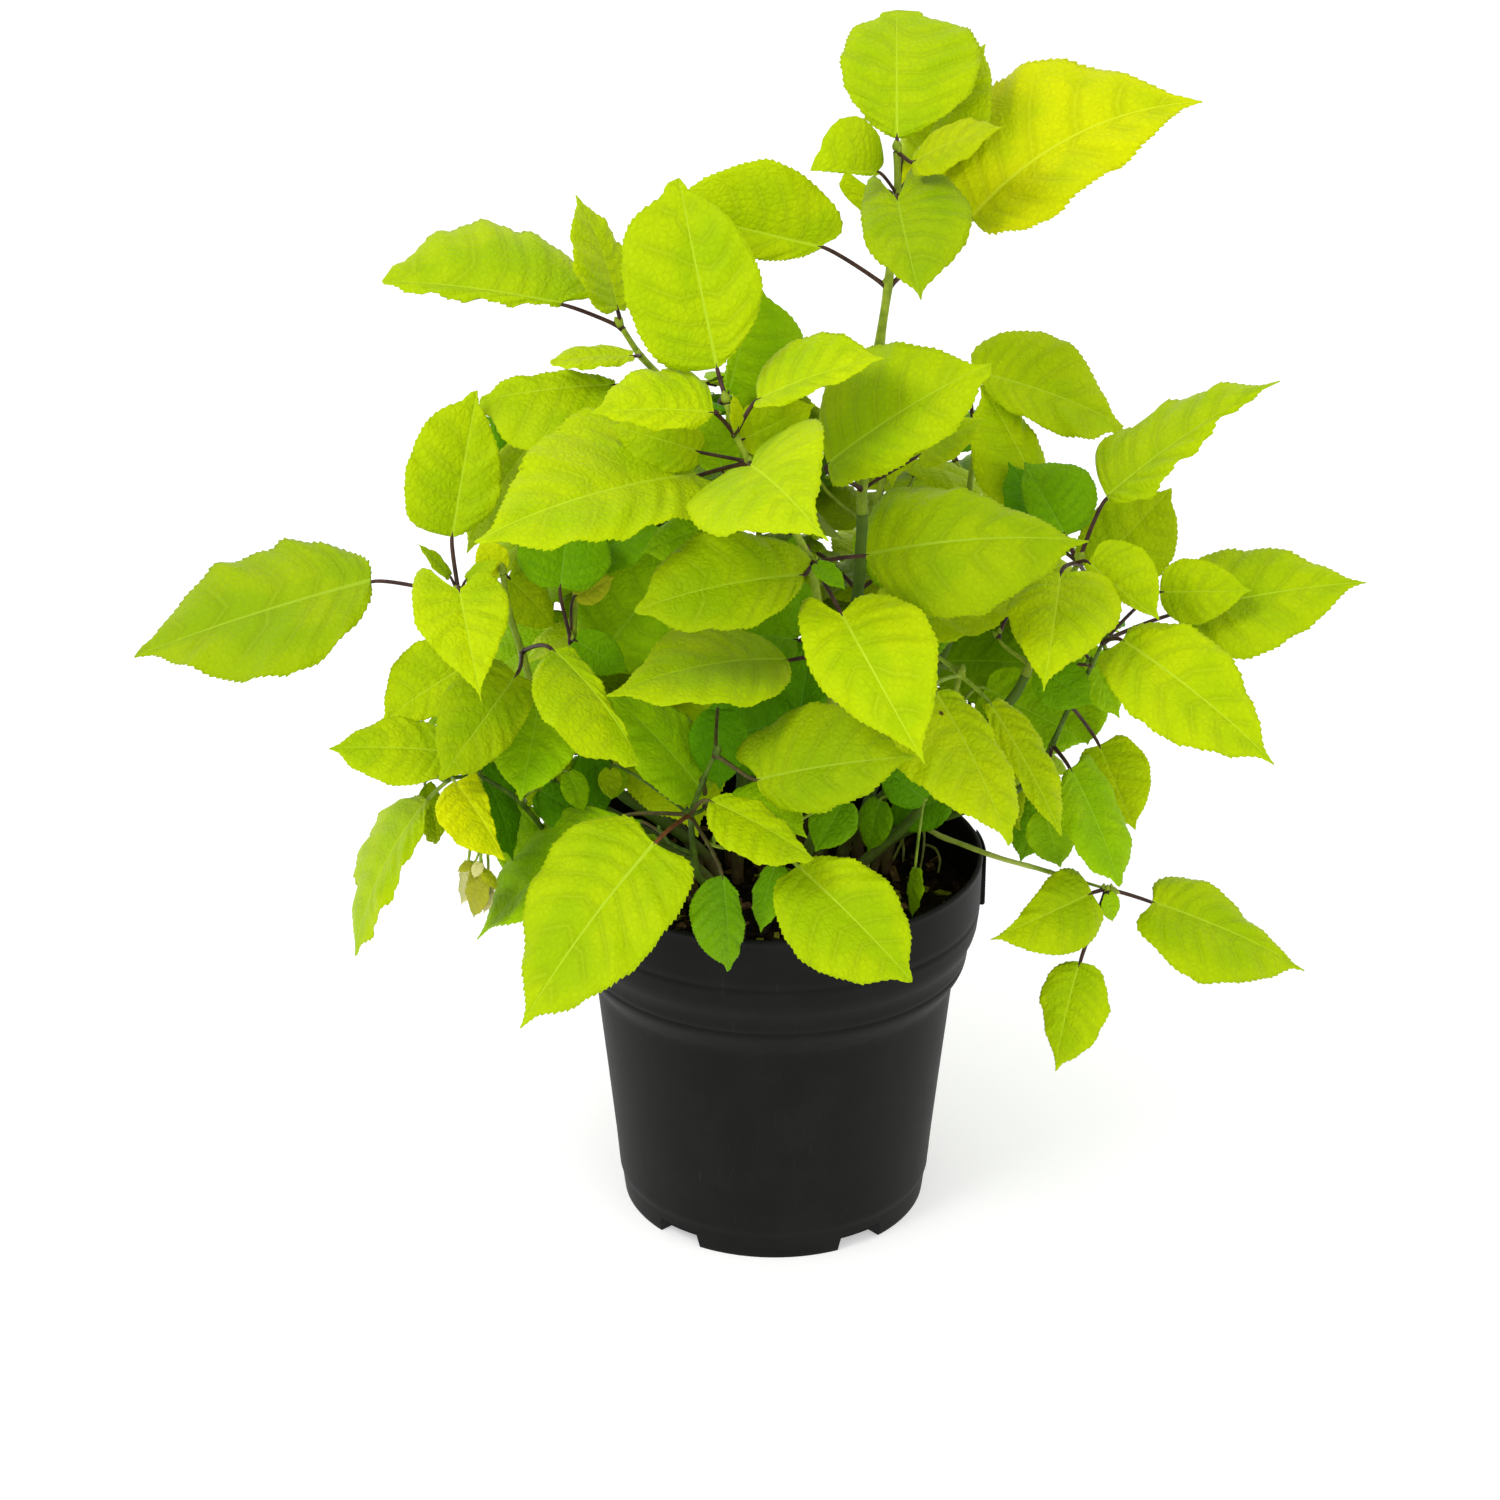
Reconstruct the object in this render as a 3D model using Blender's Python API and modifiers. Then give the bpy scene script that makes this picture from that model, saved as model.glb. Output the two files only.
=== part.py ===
"""A potted hydrangea shrub: a plastic nursery pot, its soil, a woody crown, canes and leafy shoots.

Metres, +Z up. The pot's axis is the Z axis and the ground is z = 0. The viewer stands at -Y.
Leaves that the viewer sees are placed by where their joint and tip show in the picture, and by how far
each stands forward of the pot's axis. Leaves on the far side follow a seeded rule of opposite pairs.
"""

from collections import namedtuple
from math import cos, pi, radians, sin

import bmesh
import bpy
import numpy as np
from mathutils import Vector
from mathutils.bvhtree import BVHTree

# The viewer, who sees a square picture
EYE = np.array((-0.0133, -1.4717, 0.899))
PITCH = radians(23.37)
FOCAL_PX = 3015.4
MIDDLE_PX = 750.0

# Pot, a black nursery container with a rim 224 mm across
POT_HEIGHT = 0.206
RIM_RADIUS = 0.112
COLLAR_FOOT_RADIUS = 0.1093
COLLAR_FOOT_HEIGHT = 0.163
BAND_RADIUS = 0.1052
BAND_HEIGHT = 0.144
SHOULDER_RADIUS = 0.0976
SHOULDER_HEIGHT = 0.1305
FOOT_RADIUS = 0.0861
FOOT_HEIGHT = 0.020
BASE_RADIUS = 0.0837
POT_WALL = 0.0022
FLOOR_UNDERSIDE = 0.008
FLOOR_THICKNESS = 0.0025
FOOT_RING_WIDTH = 0.008
PAD_RADIUS = 0.025
POT_SIDES = 36
COLLAR_STEP = 0.008
BAND_STEP = 0.004
NOTCH_COUNT = 5
NOTCH_WIDTH = 0.026
NOTCH_HEIGHT = 0.008
NOTCH_FIRST_DEG = -128.4
POCKET_WIDTH = 0.030
POCKET_HEIGHT = 0.031
POCKET_PROUD = 0.002
POCKET_DEG = 5.0
POCKET_DROP = 0.001

# Soil and the woody crown in it
SOIL_TOP = 0.176
SOIL_SIDES = 24
SOIL_STEP = 0.006
SOIL_EYE = 0.001
GAP = 0.0003
STUMP_RADIUS = 0.011
STUMP_FLARE = 1.35
STUMP_HEIGHT = 0.014
STUMP_TOP_SHARE = 0.7
STUMP_SIDES = 12

# Canes, stems and petioles
CANE_RADIUS = 0.0032
STEM_RADIUS = 0.0025
STEM_TIP_RADIUS = 0.0014
PETIOLE_RADIUS = 0.0011
CANE_SPANS = 3
STRAIGHT_END = 0.004
STEM_BELOW_NODE = 0.006
PETIOLE_SPANS = 2
PETIOLE_PULL = 0.8
PETIOLE_RISE = 0.25

# Leaf blades: width to length, thickness to length, and how far along the petiole runs into the midrib
BLADE_RATIO = 0.66
BLADE_THICKNESS = 0.016
ROOT_SHARE = 0.14
LEAST_HALF = 0.12
# Half outline: share of the length, with share of the half width
SHOULDER, WIDEST, TAPER = (0.06, 0.66), (0.38, 1.0), (0.74, 0.62)

# Room kept round each blade, and the steps by which a blade makes way along the line of sight
ROOM = 0.0006
STEP = 0.004
STEPS = 10

# Far shoots grow by rule. Pairs of values are the ends of a range.
SEED = 11
NODE_SPACING = 0.043
FAR_RISE = 0.03
FAR_LEAF_LENGTH = 0.092
FAR_PETIOLE_LENGTH = 0.030
FAR_OUTWARD = 0.4
FAR_CLIMB = 0.15
FAR_LIFT = 0.5
FAR_LOBE = 0.03
FAR_SWING = (-0.5, 0.5)
FAR_TILT = (-0.35, 0.35)
FAR_DROOP = (0.15, 0.75)
FAR_ARCH = (0.03, 0.10)
FAR_PETIOLE_RANGE = (0.7, 1.3)
FAR_LENGTH_RANGE = (0.85, 1.2)
FAR_WIDTH_RANGE = (0.95, 1.12)
FAR_SIZES = (1.0, 1.0, 0.9, 0.9, 0.8, 0.8, 0.7, 0.7, 0.6)

# The part of the picture that the near leaves fill, where far leaves may stand behind them
CROWN_OUTLINE = (
    (478, 500), (505, 410), (640, 402), (760, 352), (975, 372), (1000, 425), (1035, 480), (1110, 520),
    (1150, 590), (1110, 660), (1095, 760), (1040, 830), (960, 850), (620, 880), (500, 850), (440, 770),
    (400, 720), (470, 640),
)

Leaf = namedtuple("Leaf", "joint tip wide forward at left arch lobe bow", defaults=(0.5, 0.04, 0.0, 0.0))
Shoot = namedtuple("Shoot", "name foot stem leaves")
Blade = namedtuple("Blade", "joint tip halves normal arch lobe bow")

# Near shoots. foot is where the cane leaves the soil, in metres. stem holds (px, py, metres forward).
# A leaf's wide is its width as seen in pixels, forward holds its joint and tip, at is its place on the stem,
# left is the share of the width left of the way from joint to tip, arch is the midrib's rise to its length,
# lobe is how far the base reaches back past the joint, and bow is how far the midrib bends to the right,
# both to the length.
NEAR_SHOOTS = (
    Shoot("leader", (0.022, 0.008),
          ((862, 502, 0.0), (862, 490, 0.0), (880, 340, 0.0), (888, 288, 0.0), (898, 196, 0.0),
           (897, 152, 0.0)), (
              Leaf((897, 138), (892, 12), 136, (0.0, -0.065), 5, 0.4, 0.08),
              Leaf((913, 162), (1001, 125), 42, (0.012, 0.03), 5, 0.6),
              Leaf((916, 165), (984, 42), 75, (-0.03, -0.06), 4),
              Leaf((972, 218), (1200, 97), 135, (-0.01, -0.03), 3, 0.5, 0.03, 0.0, -0.1),
              Leaf((878, 172), (811, 175), 62, (0.01, 0.03), 4, 0.2, 0.2),
              Leaf((872, 188), (858, 213), 30, (-0.02, -0.02), 4),
              Leaf((897, 198), (920, 298), 107, (0.02, 0.085), 4, 0.6, 0.04),
              Leaf((822, 247), (679, 177), 108, (0.0, 0.0), 3, 0.4, 0.06, 0.08),
              Leaf((828, 464), (990, 363), 108, (0.05, 0.07), 1, 0.68, 0.05, 0.06),
              Leaf((918, 456), (985, 418), 40, (0.0, 0.0), 1),
          )),
    Shoot("upper_left", (-0.020, 0.016),
          ((692, 425, -0.01), (672, 388, -0.015), (640, 356, -0.02), (622, 328, -0.02)), (
              Leaf((562, 304), (382, 281), 84, (-0.02, -0.04), 3, 0.18, 0.03),
              Leaf((618, 310), (578, 194), 52, (-0.02, -0.04), 3, 0.54),
              Leaf((633, 356), (551, 363), 24, (0.0, 0.01), 2, 0.4),
              Leaf((728, 395), (763, 290), 85, (0.0, -0.01), 0, 0.35),
              Leaf((615, 385), (480, 395), 75, (0.0, 0.0), 1, 0.8),
          )),
    Shoot("centre", (0.012, -0.022),
          ((833, 710, 0.08), (826, 655, 0.08), (812, 563, 0.08), (780, 505, 0.08), (750, 463, 0.08),
           (735, 435, 0.08), (727, 404, 0.08)), (
              Leaf((717, 368), (660, 192), 142, (0.07, 0.03), 6, 0.49, 0.05, 0.05),
              Leaf((738, 428), (733, 394), 14, (0.09, 0.09), 5),
              Leaf((714, 413), (592, 402), 58, (0.085, 0.10), 5),
              Leaf((757, 400), (884, 357), 56, (0.07, 0.085), 5, 0.77),
              Leaf((750, 466), (826, 537), 134, (0.10, 0.19), 4, 0.5, 0.08, 0.24),
              Leaf((697, 475), (475, 540), 118, (0.06, 0.13), 4, 0.33, 0.05, 0.03),
              Leaf((866, 555), (1088, 540), 128, (0.09, 0.11), 2, 0.5, 0.07, 0.05),
              Leaf((803, 575), (637, 607), 96, (0.10, 0.12), 2, 0.43, 0.06, 0.04),
              Leaf((841, 613), (924, 762), 128, (0.12, 0.175), 2, 0.58, 0.06, 0.12),
              Leaf((816, 563), (845, 590), 22, (0.09, 0.10), 2),
              Leaf((806, 545), (782, 553), 24, (0.07, 0.07), 2),
              Leaf((787, 660), (612, 690), 71, (0.07, 0.12), 1, 0.48, 0.06),
              Leaf((798, 640), (668, 632), 78, (0.045, 0.03), 1),
              Leaf((852, 650), (962, 622), 80, (0.04, 0.02), 1),
              Leaf((790, 722), (690, 742), 92, (0.05, 0.03), 0),
          )),
    Shoot("left_outer", (-0.046, -0.006),
          ((500, 720, 0.04), (478, 655, 0.05), (459, 597, 0.055)), (
              Leaf((371, 581), (133, 656), 122, (0.05, 0.04), 2, 0.5, 0.02),
              Leaf((452, 537), (478, 391), 106, (0.04, 0.01), 2, 0.57, 0.03, 0.02),
              Leaf((459, 589), (481, 700), 93, (0.08, 0.127), 2, 0.45, 0.06, 0.13),
              Leaf((450, 576), (418, 544), 14, (0.05, 0.05), 2),
              Leaf((466, 580), (500, 560), 20, (0.05, 0.05), 2),
              Leaf((462, 668), (380, 722), 60, (0.06, 0.07), 1, 0.44),
          )),
    Shoot("left_inner", (-0.030, -0.020),
          ((548, 760, 0.04), (540, 715, 0.045), (522, 652, 0.045), (508, 610, 0.045), (503, 575, 0.045)), (
              Leaf((500, 572), (480, 540), 35, (0.045, 0.04), 4),
              Leaf((508, 577), (556, 628), 48, (0.03, 0.02), 4),
              Leaf((517, 674), (440, 780), 95, (0.08, 0.12), 2),
              Leaf((553, 650), (640, 760), 79, (0.09, 0.14), 2, 0.28, 0.06, 0.05),
              Leaf((450, 752), (329, 748), 68, (0.09, 0.09), 1),
              Leaf((540, 700), (520, 800), 92, (0.06, 0.10), 1),
          )),
    Shoot("left_low", (-0.040, -0.036),
          ((560, 850, 0.05), (520, 800, 0.07), (480, 775, 0.08), (452, 778, 0.085)), (
              Leaf((427, 800), (352, 953), 46, (0.08, 0.10), 3, 0.15, 0.06),
              Leaf((455, 782), (508, 861), 58, (0.10, 0.13), 3),
              Leaf((425, 785), (440, 843), 30, (0.07, 0.07), 3),
              Leaf((480, 765), (515, 860), 48, (0.06, 0.07), 2),
              Leaf((540, 790), (600, 832), 45, (0.05, 0.065), 1),
              Leaf((568, 772), (585, 812), 28, (0.065, 0.07), 1),
              Leaf((468, 862), (461, 905), 16, (0.088, 0.088), 2),
              Leaf((488, 872), (484, 914), 16, (0.095, 0.095), 2),
          )),
    Shoot("left_mid", (-0.030, 0.000),
          ((592, 740, 0.02), (571, 642, 0.03), (580, 560, 0.01), (590, 475, -0.01)), (
              Leaf((560, 588), (570, 505), 96, (0.035, 0.01), 1),
              Leaf((575, 596), (614, 577), 32, (0.02, 0.015), 1),
              Leaf((600, 655), (690, 545), 122, (0.01, -0.01), 1),
              Leaf((608, 742), (672, 690), 72, (0.03, 0.02), 0),
              Leaf((530, 445), (465, 552), 60, (0.0, 0.02), 3),
              Leaf((575, 450), (562, 408), 15, (-0.01, -0.01), 3),
          )),
    Shoot("right_upper", (0.036, 0.022),
          ((1030, 665, 0.02), (1055, 610, 0.03), (1078, 563, 0.035)), (
              Leaf((1107, 497), (1278, 378), 70, (0.03, 0.03), 2, 0.73, 0.03, 0.03),
              Leaf((1061, 573), (1045, 688), 110, (0.07, 0.125), 2, 0.59, 0.06, 0.1),
              Leaf((1066, 536), (1024, 462), 74, (0.03, 0.0), 2, 0.3, 0.1),
              Leaf((1052, 540), (1008, 462), 52, (0.005, -0.02), 2),
              Leaf((1088, 562), (1158, 621), 72, (0.05, 0.08), 2),
              Leaf((1092, 572), (1172, 488), 90, (0.0, -0.02), 2, 0.45),
              Leaf((1045, 505), (977, 405), 74, (-0.02, -0.04), 2, 0.62),
          )),
    Shoot("right_back", (0.026, 0.034),
          ((955, 600, -0.02), (968, 500, -0.05), (975, 445, -0.055)), (
              Leaf((975, 372), (1122, 434), 88, (-0.05, -0.04), 2, 0.71, 0.06, 0.03),
          )),
    Shoot("right_lower", (0.054, 0.014),
          ((1052, 745, 0.03), (1070, 705, 0.035), (1092, 665, 0.045), (1103, 642, 0.05)), (
              Leaf((1122, 640), (1276, 762), 117, (0.07, 0.11), 3, 0.5, 0.05, 0.04),
              Leaf((1180, 612), (1365, 581), 104, (0.02, 0.02), 3, 0.49, 0.03),
              Leaf((1160, 592), (1252, 592), 66, (0.03, 0.04), 3),
              Leaf((1083, 650), (1120, 718), 45, (0.03, 0.04), 2),
              Leaf((1099, 745), (1135, 830), 64, (0.02, 0.04), 1),
              Leaf((1070, 768), (1120, 886), 68, (0.05, 0.08), 0),
              Leaf((1045, 812), (1060, 868), 50, (0.03, 0.03), 0),
          )),
    Shoot("right_inner", (0.034, -0.020),
          ((925, 790, 0.03), (945, 730, 0.045), (960, 675, 0.05)), (
              Leaf((935, 692), (1008, 846), 94, (0.09, 0.13), 2, 0.38, 0.06),
              Leaf((990, 703), (1063, 836), 88, (0.06, 0.09), 2),
              Leaf((938, 662), (1103, 672), 80, (-0.03, -0.02), 2),
              Leaf((880, 605), (1040, 592), 78, (0.025, 0.025), 2, 0.45),
              Leaf((900, 775), (952, 818), 60, (-0.02, 0.0), 0),
              Leaf((880, 800), (868, 852), 35, (0.03, 0.03), 0),
              Leaf((915, 868), (912, 918), 15, (0.02, 0.03), 0),
          )),
    Shoot("low_sprig", (0.048, -0.002),
          ((1060, 875, 0.053), (1107, 889, 0.06)), (
              Leaf((1092, 893), (992, 940), 80, (0.065, 0.09), 1, 0.56),
              Leaf((1152, 902), (1305, 968), 90, (0.06, 0.07), 1, 0.42, 0.04, 0.04),
              Leaf((1080, 962), (1055, 1071), 66, (0.08, 0.10), 1),
              Leaf((1108, 893), (1113, 922), 19, (0.06, 0.06), 1),
          )),
    Shoot("front_low", (-0.018, -0.050),
          ((694, 855, 0.075), (690, 815, 0.09), (703, 780, 0.095), (715, 755, 0.10)), (
              Leaf((655, 843), (520, 1028), 133, (0.13, 0.17), 1, 0.37, 0.05, 0.04),
              Leaf((620, 817), (474, 936), 70, (0.125, 0.135), 1),
              Leaf((710, 801), (812, 858), 62, (0.12, 0.15), 1),
              Leaf((704, 793), (610, 692), 76, (0.08, 0.07), 2, 0.4),
              Leaf((757, 780), (912, 758), 107, (0.11, 0.14), 3, 0.63, 0.06, 0.08),
              Leaf((722, 875), (728, 972), 54, (0.125, 0.135), 1),
              Leaf((718, 710), (720, 790), 60, (0.06, 0.07), 3),
              Leaf((610, 768), (611, 800), 25, (0.05, 0.05), 1),
          )),
    Shoot("front_right", (0.006, -0.046),
          ((772, 880, 0.07), (768, 840, 0.09)), (
              Leaf((798, 866), (913, 980), 106, (0.13, 0.17), 1, 0.47, 0.05, 0.04),
              Leaf((775, 866), (760, 932), 35, (0.10, 0.118), 1),
              Leaf((845, 800), (815, 852), 50, (0.06, 0.07), 1),
          )),
)

# Cane routes that bend on their way, between foot and shoot
WAY_POINTS = {"low_sprig": ((893, 820, 0.0), (945, 838, 0.02), (1000, 858, 0.045))}

# Far shoots: name, foot, where the shoot starts and where it ends, in metres
FAR_SHOOTS = (
    ("back_high_left", (-0.006, 0.028), (-0.035, 0.048, 0.320), (-0.055, 0.075, 0.425)),
    ("back_high_right", (0.014, 0.048), (0.045, 0.062, 0.330), (0.065, 0.090, 0.420)),
    ("back_left", (-0.024, 0.040), (-0.070, 0.060, 0.270), (-0.130, 0.115, 0.365)),
    ("back_centre", (-0.004, 0.050), (-0.005, 0.095, 0.270), (-0.010, 0.155, 0.375)),
    ("back_right", (0.046, 0.036), (0.078, 0.070, 0.270), (0.130, 0.120, 0.360)),
    ("back_low_left", (-0.042, 0.024), (-0.085, 0.055, 0.225), (-0.165, 0.085, 0.275)),
    ("back_low", (0.020, 0.066), (0.030, 0.100, 0.235), (0.045, 0.175, 0.285)),
    ("back_low_right", (0.062, 0.030), (0.095, 0.050, 0.230), (0.165, 0.070, 0.270)),
)

# Colours, with roughness and metallic
BLACK_PLASTIC = ((0.012, 0.012, 0.013), 0.45, 0.0)
SOIL = ((0.030, 0.018, 0.012), 0.95, 0.0)
WOOD = ((0.16, 0.10, 0.06), 0.85, 0.0)
CANE_GREEN = ((0.22, 0.30, 0.06), 0.6, 0.0)
LIME = ((0.42, 0.62, 0.02), 0.5, 0.0)


def unit(vector):
    """The vector at length 1."""
    return vector / np.linalg.norm(vector)


def seen(px, py, forward):
    """The point on the upright plane y = -forward that shows at pixel px, py."""
    right, up = (px - MIDDLE_PX) / FOCAL_PX, (MIDDLE_PX - py) / FOCAL_PX
    ray = np.array((right, cos(PITCH) + up * sin(PITCH), up * cos(PITCH) - sin(PITCH)))
    return EYE + ray * (-forward - EYE[1]) / ray[1]


def depth(point):
    """How far a point is from the eye along the line of sight."""
    return (point - EYE) @ np.array((0.0, cos(PITCH), -sin(PITCH)))


def shown(point):
    """The pixel at which a point shows."""
    up = (point - EYE) @ np.array((0.0, sin(PITCH), cos(PITCH)))
    scale = FOCAL_PX / depth(point)
    return MIDDLE_PX + (point[0] - EYE[0]) * scale, MIDDLE_PX - up * scale


def within(outline, px, py):
    """True if a pixel lies inside an outline, by counting the edges to its right."""
    inside = False
    for (x0, y0), (x1, y1) in zip(outline, outline[1:] + outline[:1]):
        if (y0 > py) != (y1 > py) and px < x0 + (py - y0) * (x1 - x0) / (y1 - y0):
            inside = not inside
    return inside


def flow(start, start_pull, end, end_pull, spans):
    """Points along a cubic curve with those pulls at its ends."""
    t = np.linspace(0.0, 1.0, spans + 1)[:, None]
    return ((2 * t**3 - 3 * t**2 + 1) * start + (t**3 - 2 * t**2 + t) * start_pull
            + (3 * t**2 - 2 * t**3) * end + (t**3 - t**2) * end_pull)


def near_blade(leaf, shift):
    """A blade from the picture: it turns its face up from the viewer as far as it looks too narrow."""
    joint = seen(*leaf.joint, leaf.forward[0] + shift)
    tip = seen(*leaf.tip, leaf.forward[1] + shift)
    middle = (joint + tip) / 2
    length = np.linalg.norm(tip - joint)
    along = (tip - joint) / length
    looks = leaf.wide * depth(middle) / FOCAL_PX
    turned = min(1.0, looks / (BLADE_RATIO * length))
    facing = unit(EYE - middle)
    facing = unit(facing - along * (facing @ along))
    left = np.cross(facing, along)
    lean = np.sqrt(1.0 - turned**2) * (1 if left[2] > 0.0 else -1)
    halves = np.array((leaf.left, 1.0 - leaf.left)) * looks
    halves -= np.array((1, -1)) * leaf.arch * length * lean
    halves = np.maximum(halves, LEAST_HALF * looks) / turned
    return Blade(joint, tip, halves, facing * turned + left * lean, leaf.arch, leaf.lobe, leaf.bow)


def blade_point(blade, share, across):
    """A point of the mid surface: share of the way to the tip, and across from -1, left, to 1, right."""
    reach = blade.tip - blade.joint
    length = np.linalg.norm(reach)
    right = unit(np.cross(reach, blade.normal))
    stations = (SHOULDER[0] - blade.lobe, WIDEST[0], TAPER[0], 1.0)
    outline = np.interp(share, stations, (SHOULDER[1], WIDEST[1], TAPER[1], 0.0))
    rise = length * 4 * share * (1 - share)
    offset = blade.halves[0 if across < 0 else 1] * outline * across + blade.bow * rise
    lift = blade.arch * rise
    return blade.joint + reach * share + right * offset + blade.normal * lift


def blade_shell(blade, extra=0.0):
    """Corners and faces of a blade: a thin lens, thickest along its midrib, with a four-sided half."""
    half_thick = BLADE_THICKNESS / 2 * np.linalg.norm(blade.tip - blade.joint) + extra
    stations = (SHOULDER[0] - blade.lobe, WIDEST[0], TAPER[0])
    left = [blade_point(blade, share, -1) for share in stations]
    right = [blade_point(blade, share, 1) for share in stations]
    ribs = [blade_point(blade, share, 0) for share in stations[1:]]
    upper = [rib + blade.normal * half_thick for rib in ribs]
    lower = [rib - blade.normal * half_thick for rib in ribs]
    corners = [blade.joint, *left, blade.tip, *right[::-1], *upper, *lower]
    faces = []
    for near, far, turn in ((8, 9, 1), (10, 11, -1)):
        fan = [(0, 1, near), (1, 2, near), (2, 3, far), (3, 4, far), (4, 5, far), (5, 6, far),
               (6, 7, near), (7, 0, near), (2, far, near), (6, near, far)]
        faces += [face[::turn] for face in fan]
    return corners, faces


def tube_shell(points, radius):
    """A three-sided tube round points, for the test of room."""
    corners, faces = [], []
    for i, point in enumerate(points):
        way = unit(points[min(i + 1, len(points) - 1)] - points[max(i - 1, 0)])
        side = unit(np.cross(way, (0.31, 0.77, 0.55)))
        other = np.cross(way, side)
        turns = [2 * pi * k / 3 for k in range(3)]
        corners += [point + radius * (side * cos(turn) + other * sin(turn)) for turn in turns]
    for i in range(len(points) - 1):
        for k in range(3):
            a, b = 3 * i + k, 3 * i + (k + 1) % 3
            faces.append((a, b, b + 3, a + 3))
    return corners, faces


def ring_shell(rings, sides):
    """A turned skin through (radius, height) rings, for the test of room."""
    corners, faces = [], []
    for radius, height in rings:
        corners += [(radius * cos(2 * pi * k / sides), radius * sin(2 * pi * k / sides), height)
                    for k in range(sides)]
    for i in range(len(rings) - 1):
        for k in range(sides):
            a, b = sides * i + k, sides * i + (k + 1) % sides
            faces.append((a, b, b + sides, a + sides))
    return corners, faces


def tree(shell):
    """A shell as a search tree."""
    return BVHTree.FromPolygons([Vector(corner) for corner in shell[0]], shell[1])


def petiole(node, blade):
    """Points of a petiole: from its node it swings over to the blade and runs on into the midrib."""
    span = np.linalg.norm(blade.joint - node)
    out = (blade.joint - node) * PETIOLE_PULL + np.array((0.0, 0.0, PETIOLE_RISE * span))
    points = flow(node, out, blade.joint, unit(blade.tip - blade.joint) * span, PETIOLE_SPANS)
    return np.vstack((points, blade_point(blade, ROOT_SHARE, 0)))


class Room:
    """Keeps each blade, petiole, stem and cane clear of the others."""

    def __init__(self):
        self.taken = []

    def take(self, owner, kind, shell):
        """Adds a shape of a shoot to what has been placed."""
        self.taken.append((owner, kind, tree(shell)))

    def clear(self, owner, blade_tree, petiole_tree):
        """True if a blade touches nothing, and its petiole only the stem and petioles of its own shoot."""
        for other, kind, placed in self.taken:
            if blade_tree.overlap(placed):
                return False
            if (other != owner or kind in ("blade", "cane")) and petiole_tree.overlap(placed):
                return False
        return True

    def settle(self, owner, node, choices):
        """The first of the choices of blade that is clear, with its petiole, or None."""
        for blade in choices:
            stalk = petiole(node, blade)
            shell = blade_shell(blade, ROOM)
            thin = tube_shell(stalk[:-1], PETIOLE_RADIUS + ROOM)
            if self.clear(owner, tree(shell), tree(thin)):
                self.take(owner, "blade", shell)
                self.take(owner, "petiole", thin)
                return blade, stalk
        return None


def near_choices(leaf):
    """A leaf of the picture, then the same leaf nearer to or further from the viewer."""
    for step in range(STEPS + 1):
        for way in ((1, -1) if step else (1,)):
            yield near_blade(leaf, way * step * STEP)


def far_choices(node, angle, rng):
    """A leaf of the far side: out from its node at about that angle, arching over, then smaller ones."""
    up = np.array((0.0, 0.0, 1.0))
    outward = unit(np.array((node[0], node[1], 0.0)))
    for size in FAR_SIZES:
        bearing = angle + rng.uniform(*FAR_SWING)
        way = unit(np.array((cos(bearing), sin(bearing), FAR_CLIMB)) + FAR_OUTWARD * outward)
        petiole_length = FAR_PETIOLE_LENGTH * rng.uniform(*FAR_PETIOLE_RANGE) * size
        length = FAR_LEAF_LENGTH * rng.uniform(*FAR_LENGTH_RANGE) * size
        joint = node + unit(way + FAR_LIFT * up) * petiole_length
        along = unit(way - up * rng.uniform(*FAR_DROOP))
        side = unit(np.cross(along, up))
        normal = unit(np.cross(side, along) + side * rng.uniform(*FAR_TILT))
        half = length * BLADE_RATIO / 2 * rng.uniform(*FAR_WIDTH_RANGE)
        arch = rng.uniform(*FAR_ARCH)
        yield Blade(joint, joint + along * length, (half, half), normal, arch, FAR_LOBE, 0.0)


def inside_crown(blade):
    """True if a far blade shows only where near leaves stand before it."""
    corners, _ = blade_shell(blade)
    return all(within(CROWN_OUTLINE, *shown(corner)) for corner in corners)


def cane_route(shoot_name, foot, entry, first_way):
    """Points of a cane, from just over the soil to its shoot's foot, straight for a little at each end."""
    up = np.array((0.0, 0.0, 1.0))
    start = np.array((foot[0], foot[1], SOIL_TOP + GAP))
    stops = [seen(*stop) for stop in WAY_POINTS.get(shoot_name, ())]
    knots = [start + up * STRAIGHT_END, *stops, entry - first_way * STRAIGHT_END]
    ways = [up, *(unit(after - before) for before, after in zip(knots[:-2], knots[2:])), first_way]
    spans = CANE_SPANS if not stops else 1
    points = [start[None], knots[0][None]]
    for i in range(len(knots) - 1):
        reach = np.linalg.norm(knots[i + 1] - knots[i])
        points.append(flow(knots[i], ways[i] * reach, knots[i + 1], ways[i + 1] * reach, spans)[1:])
    return np.vstack((*points, entry))


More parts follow.
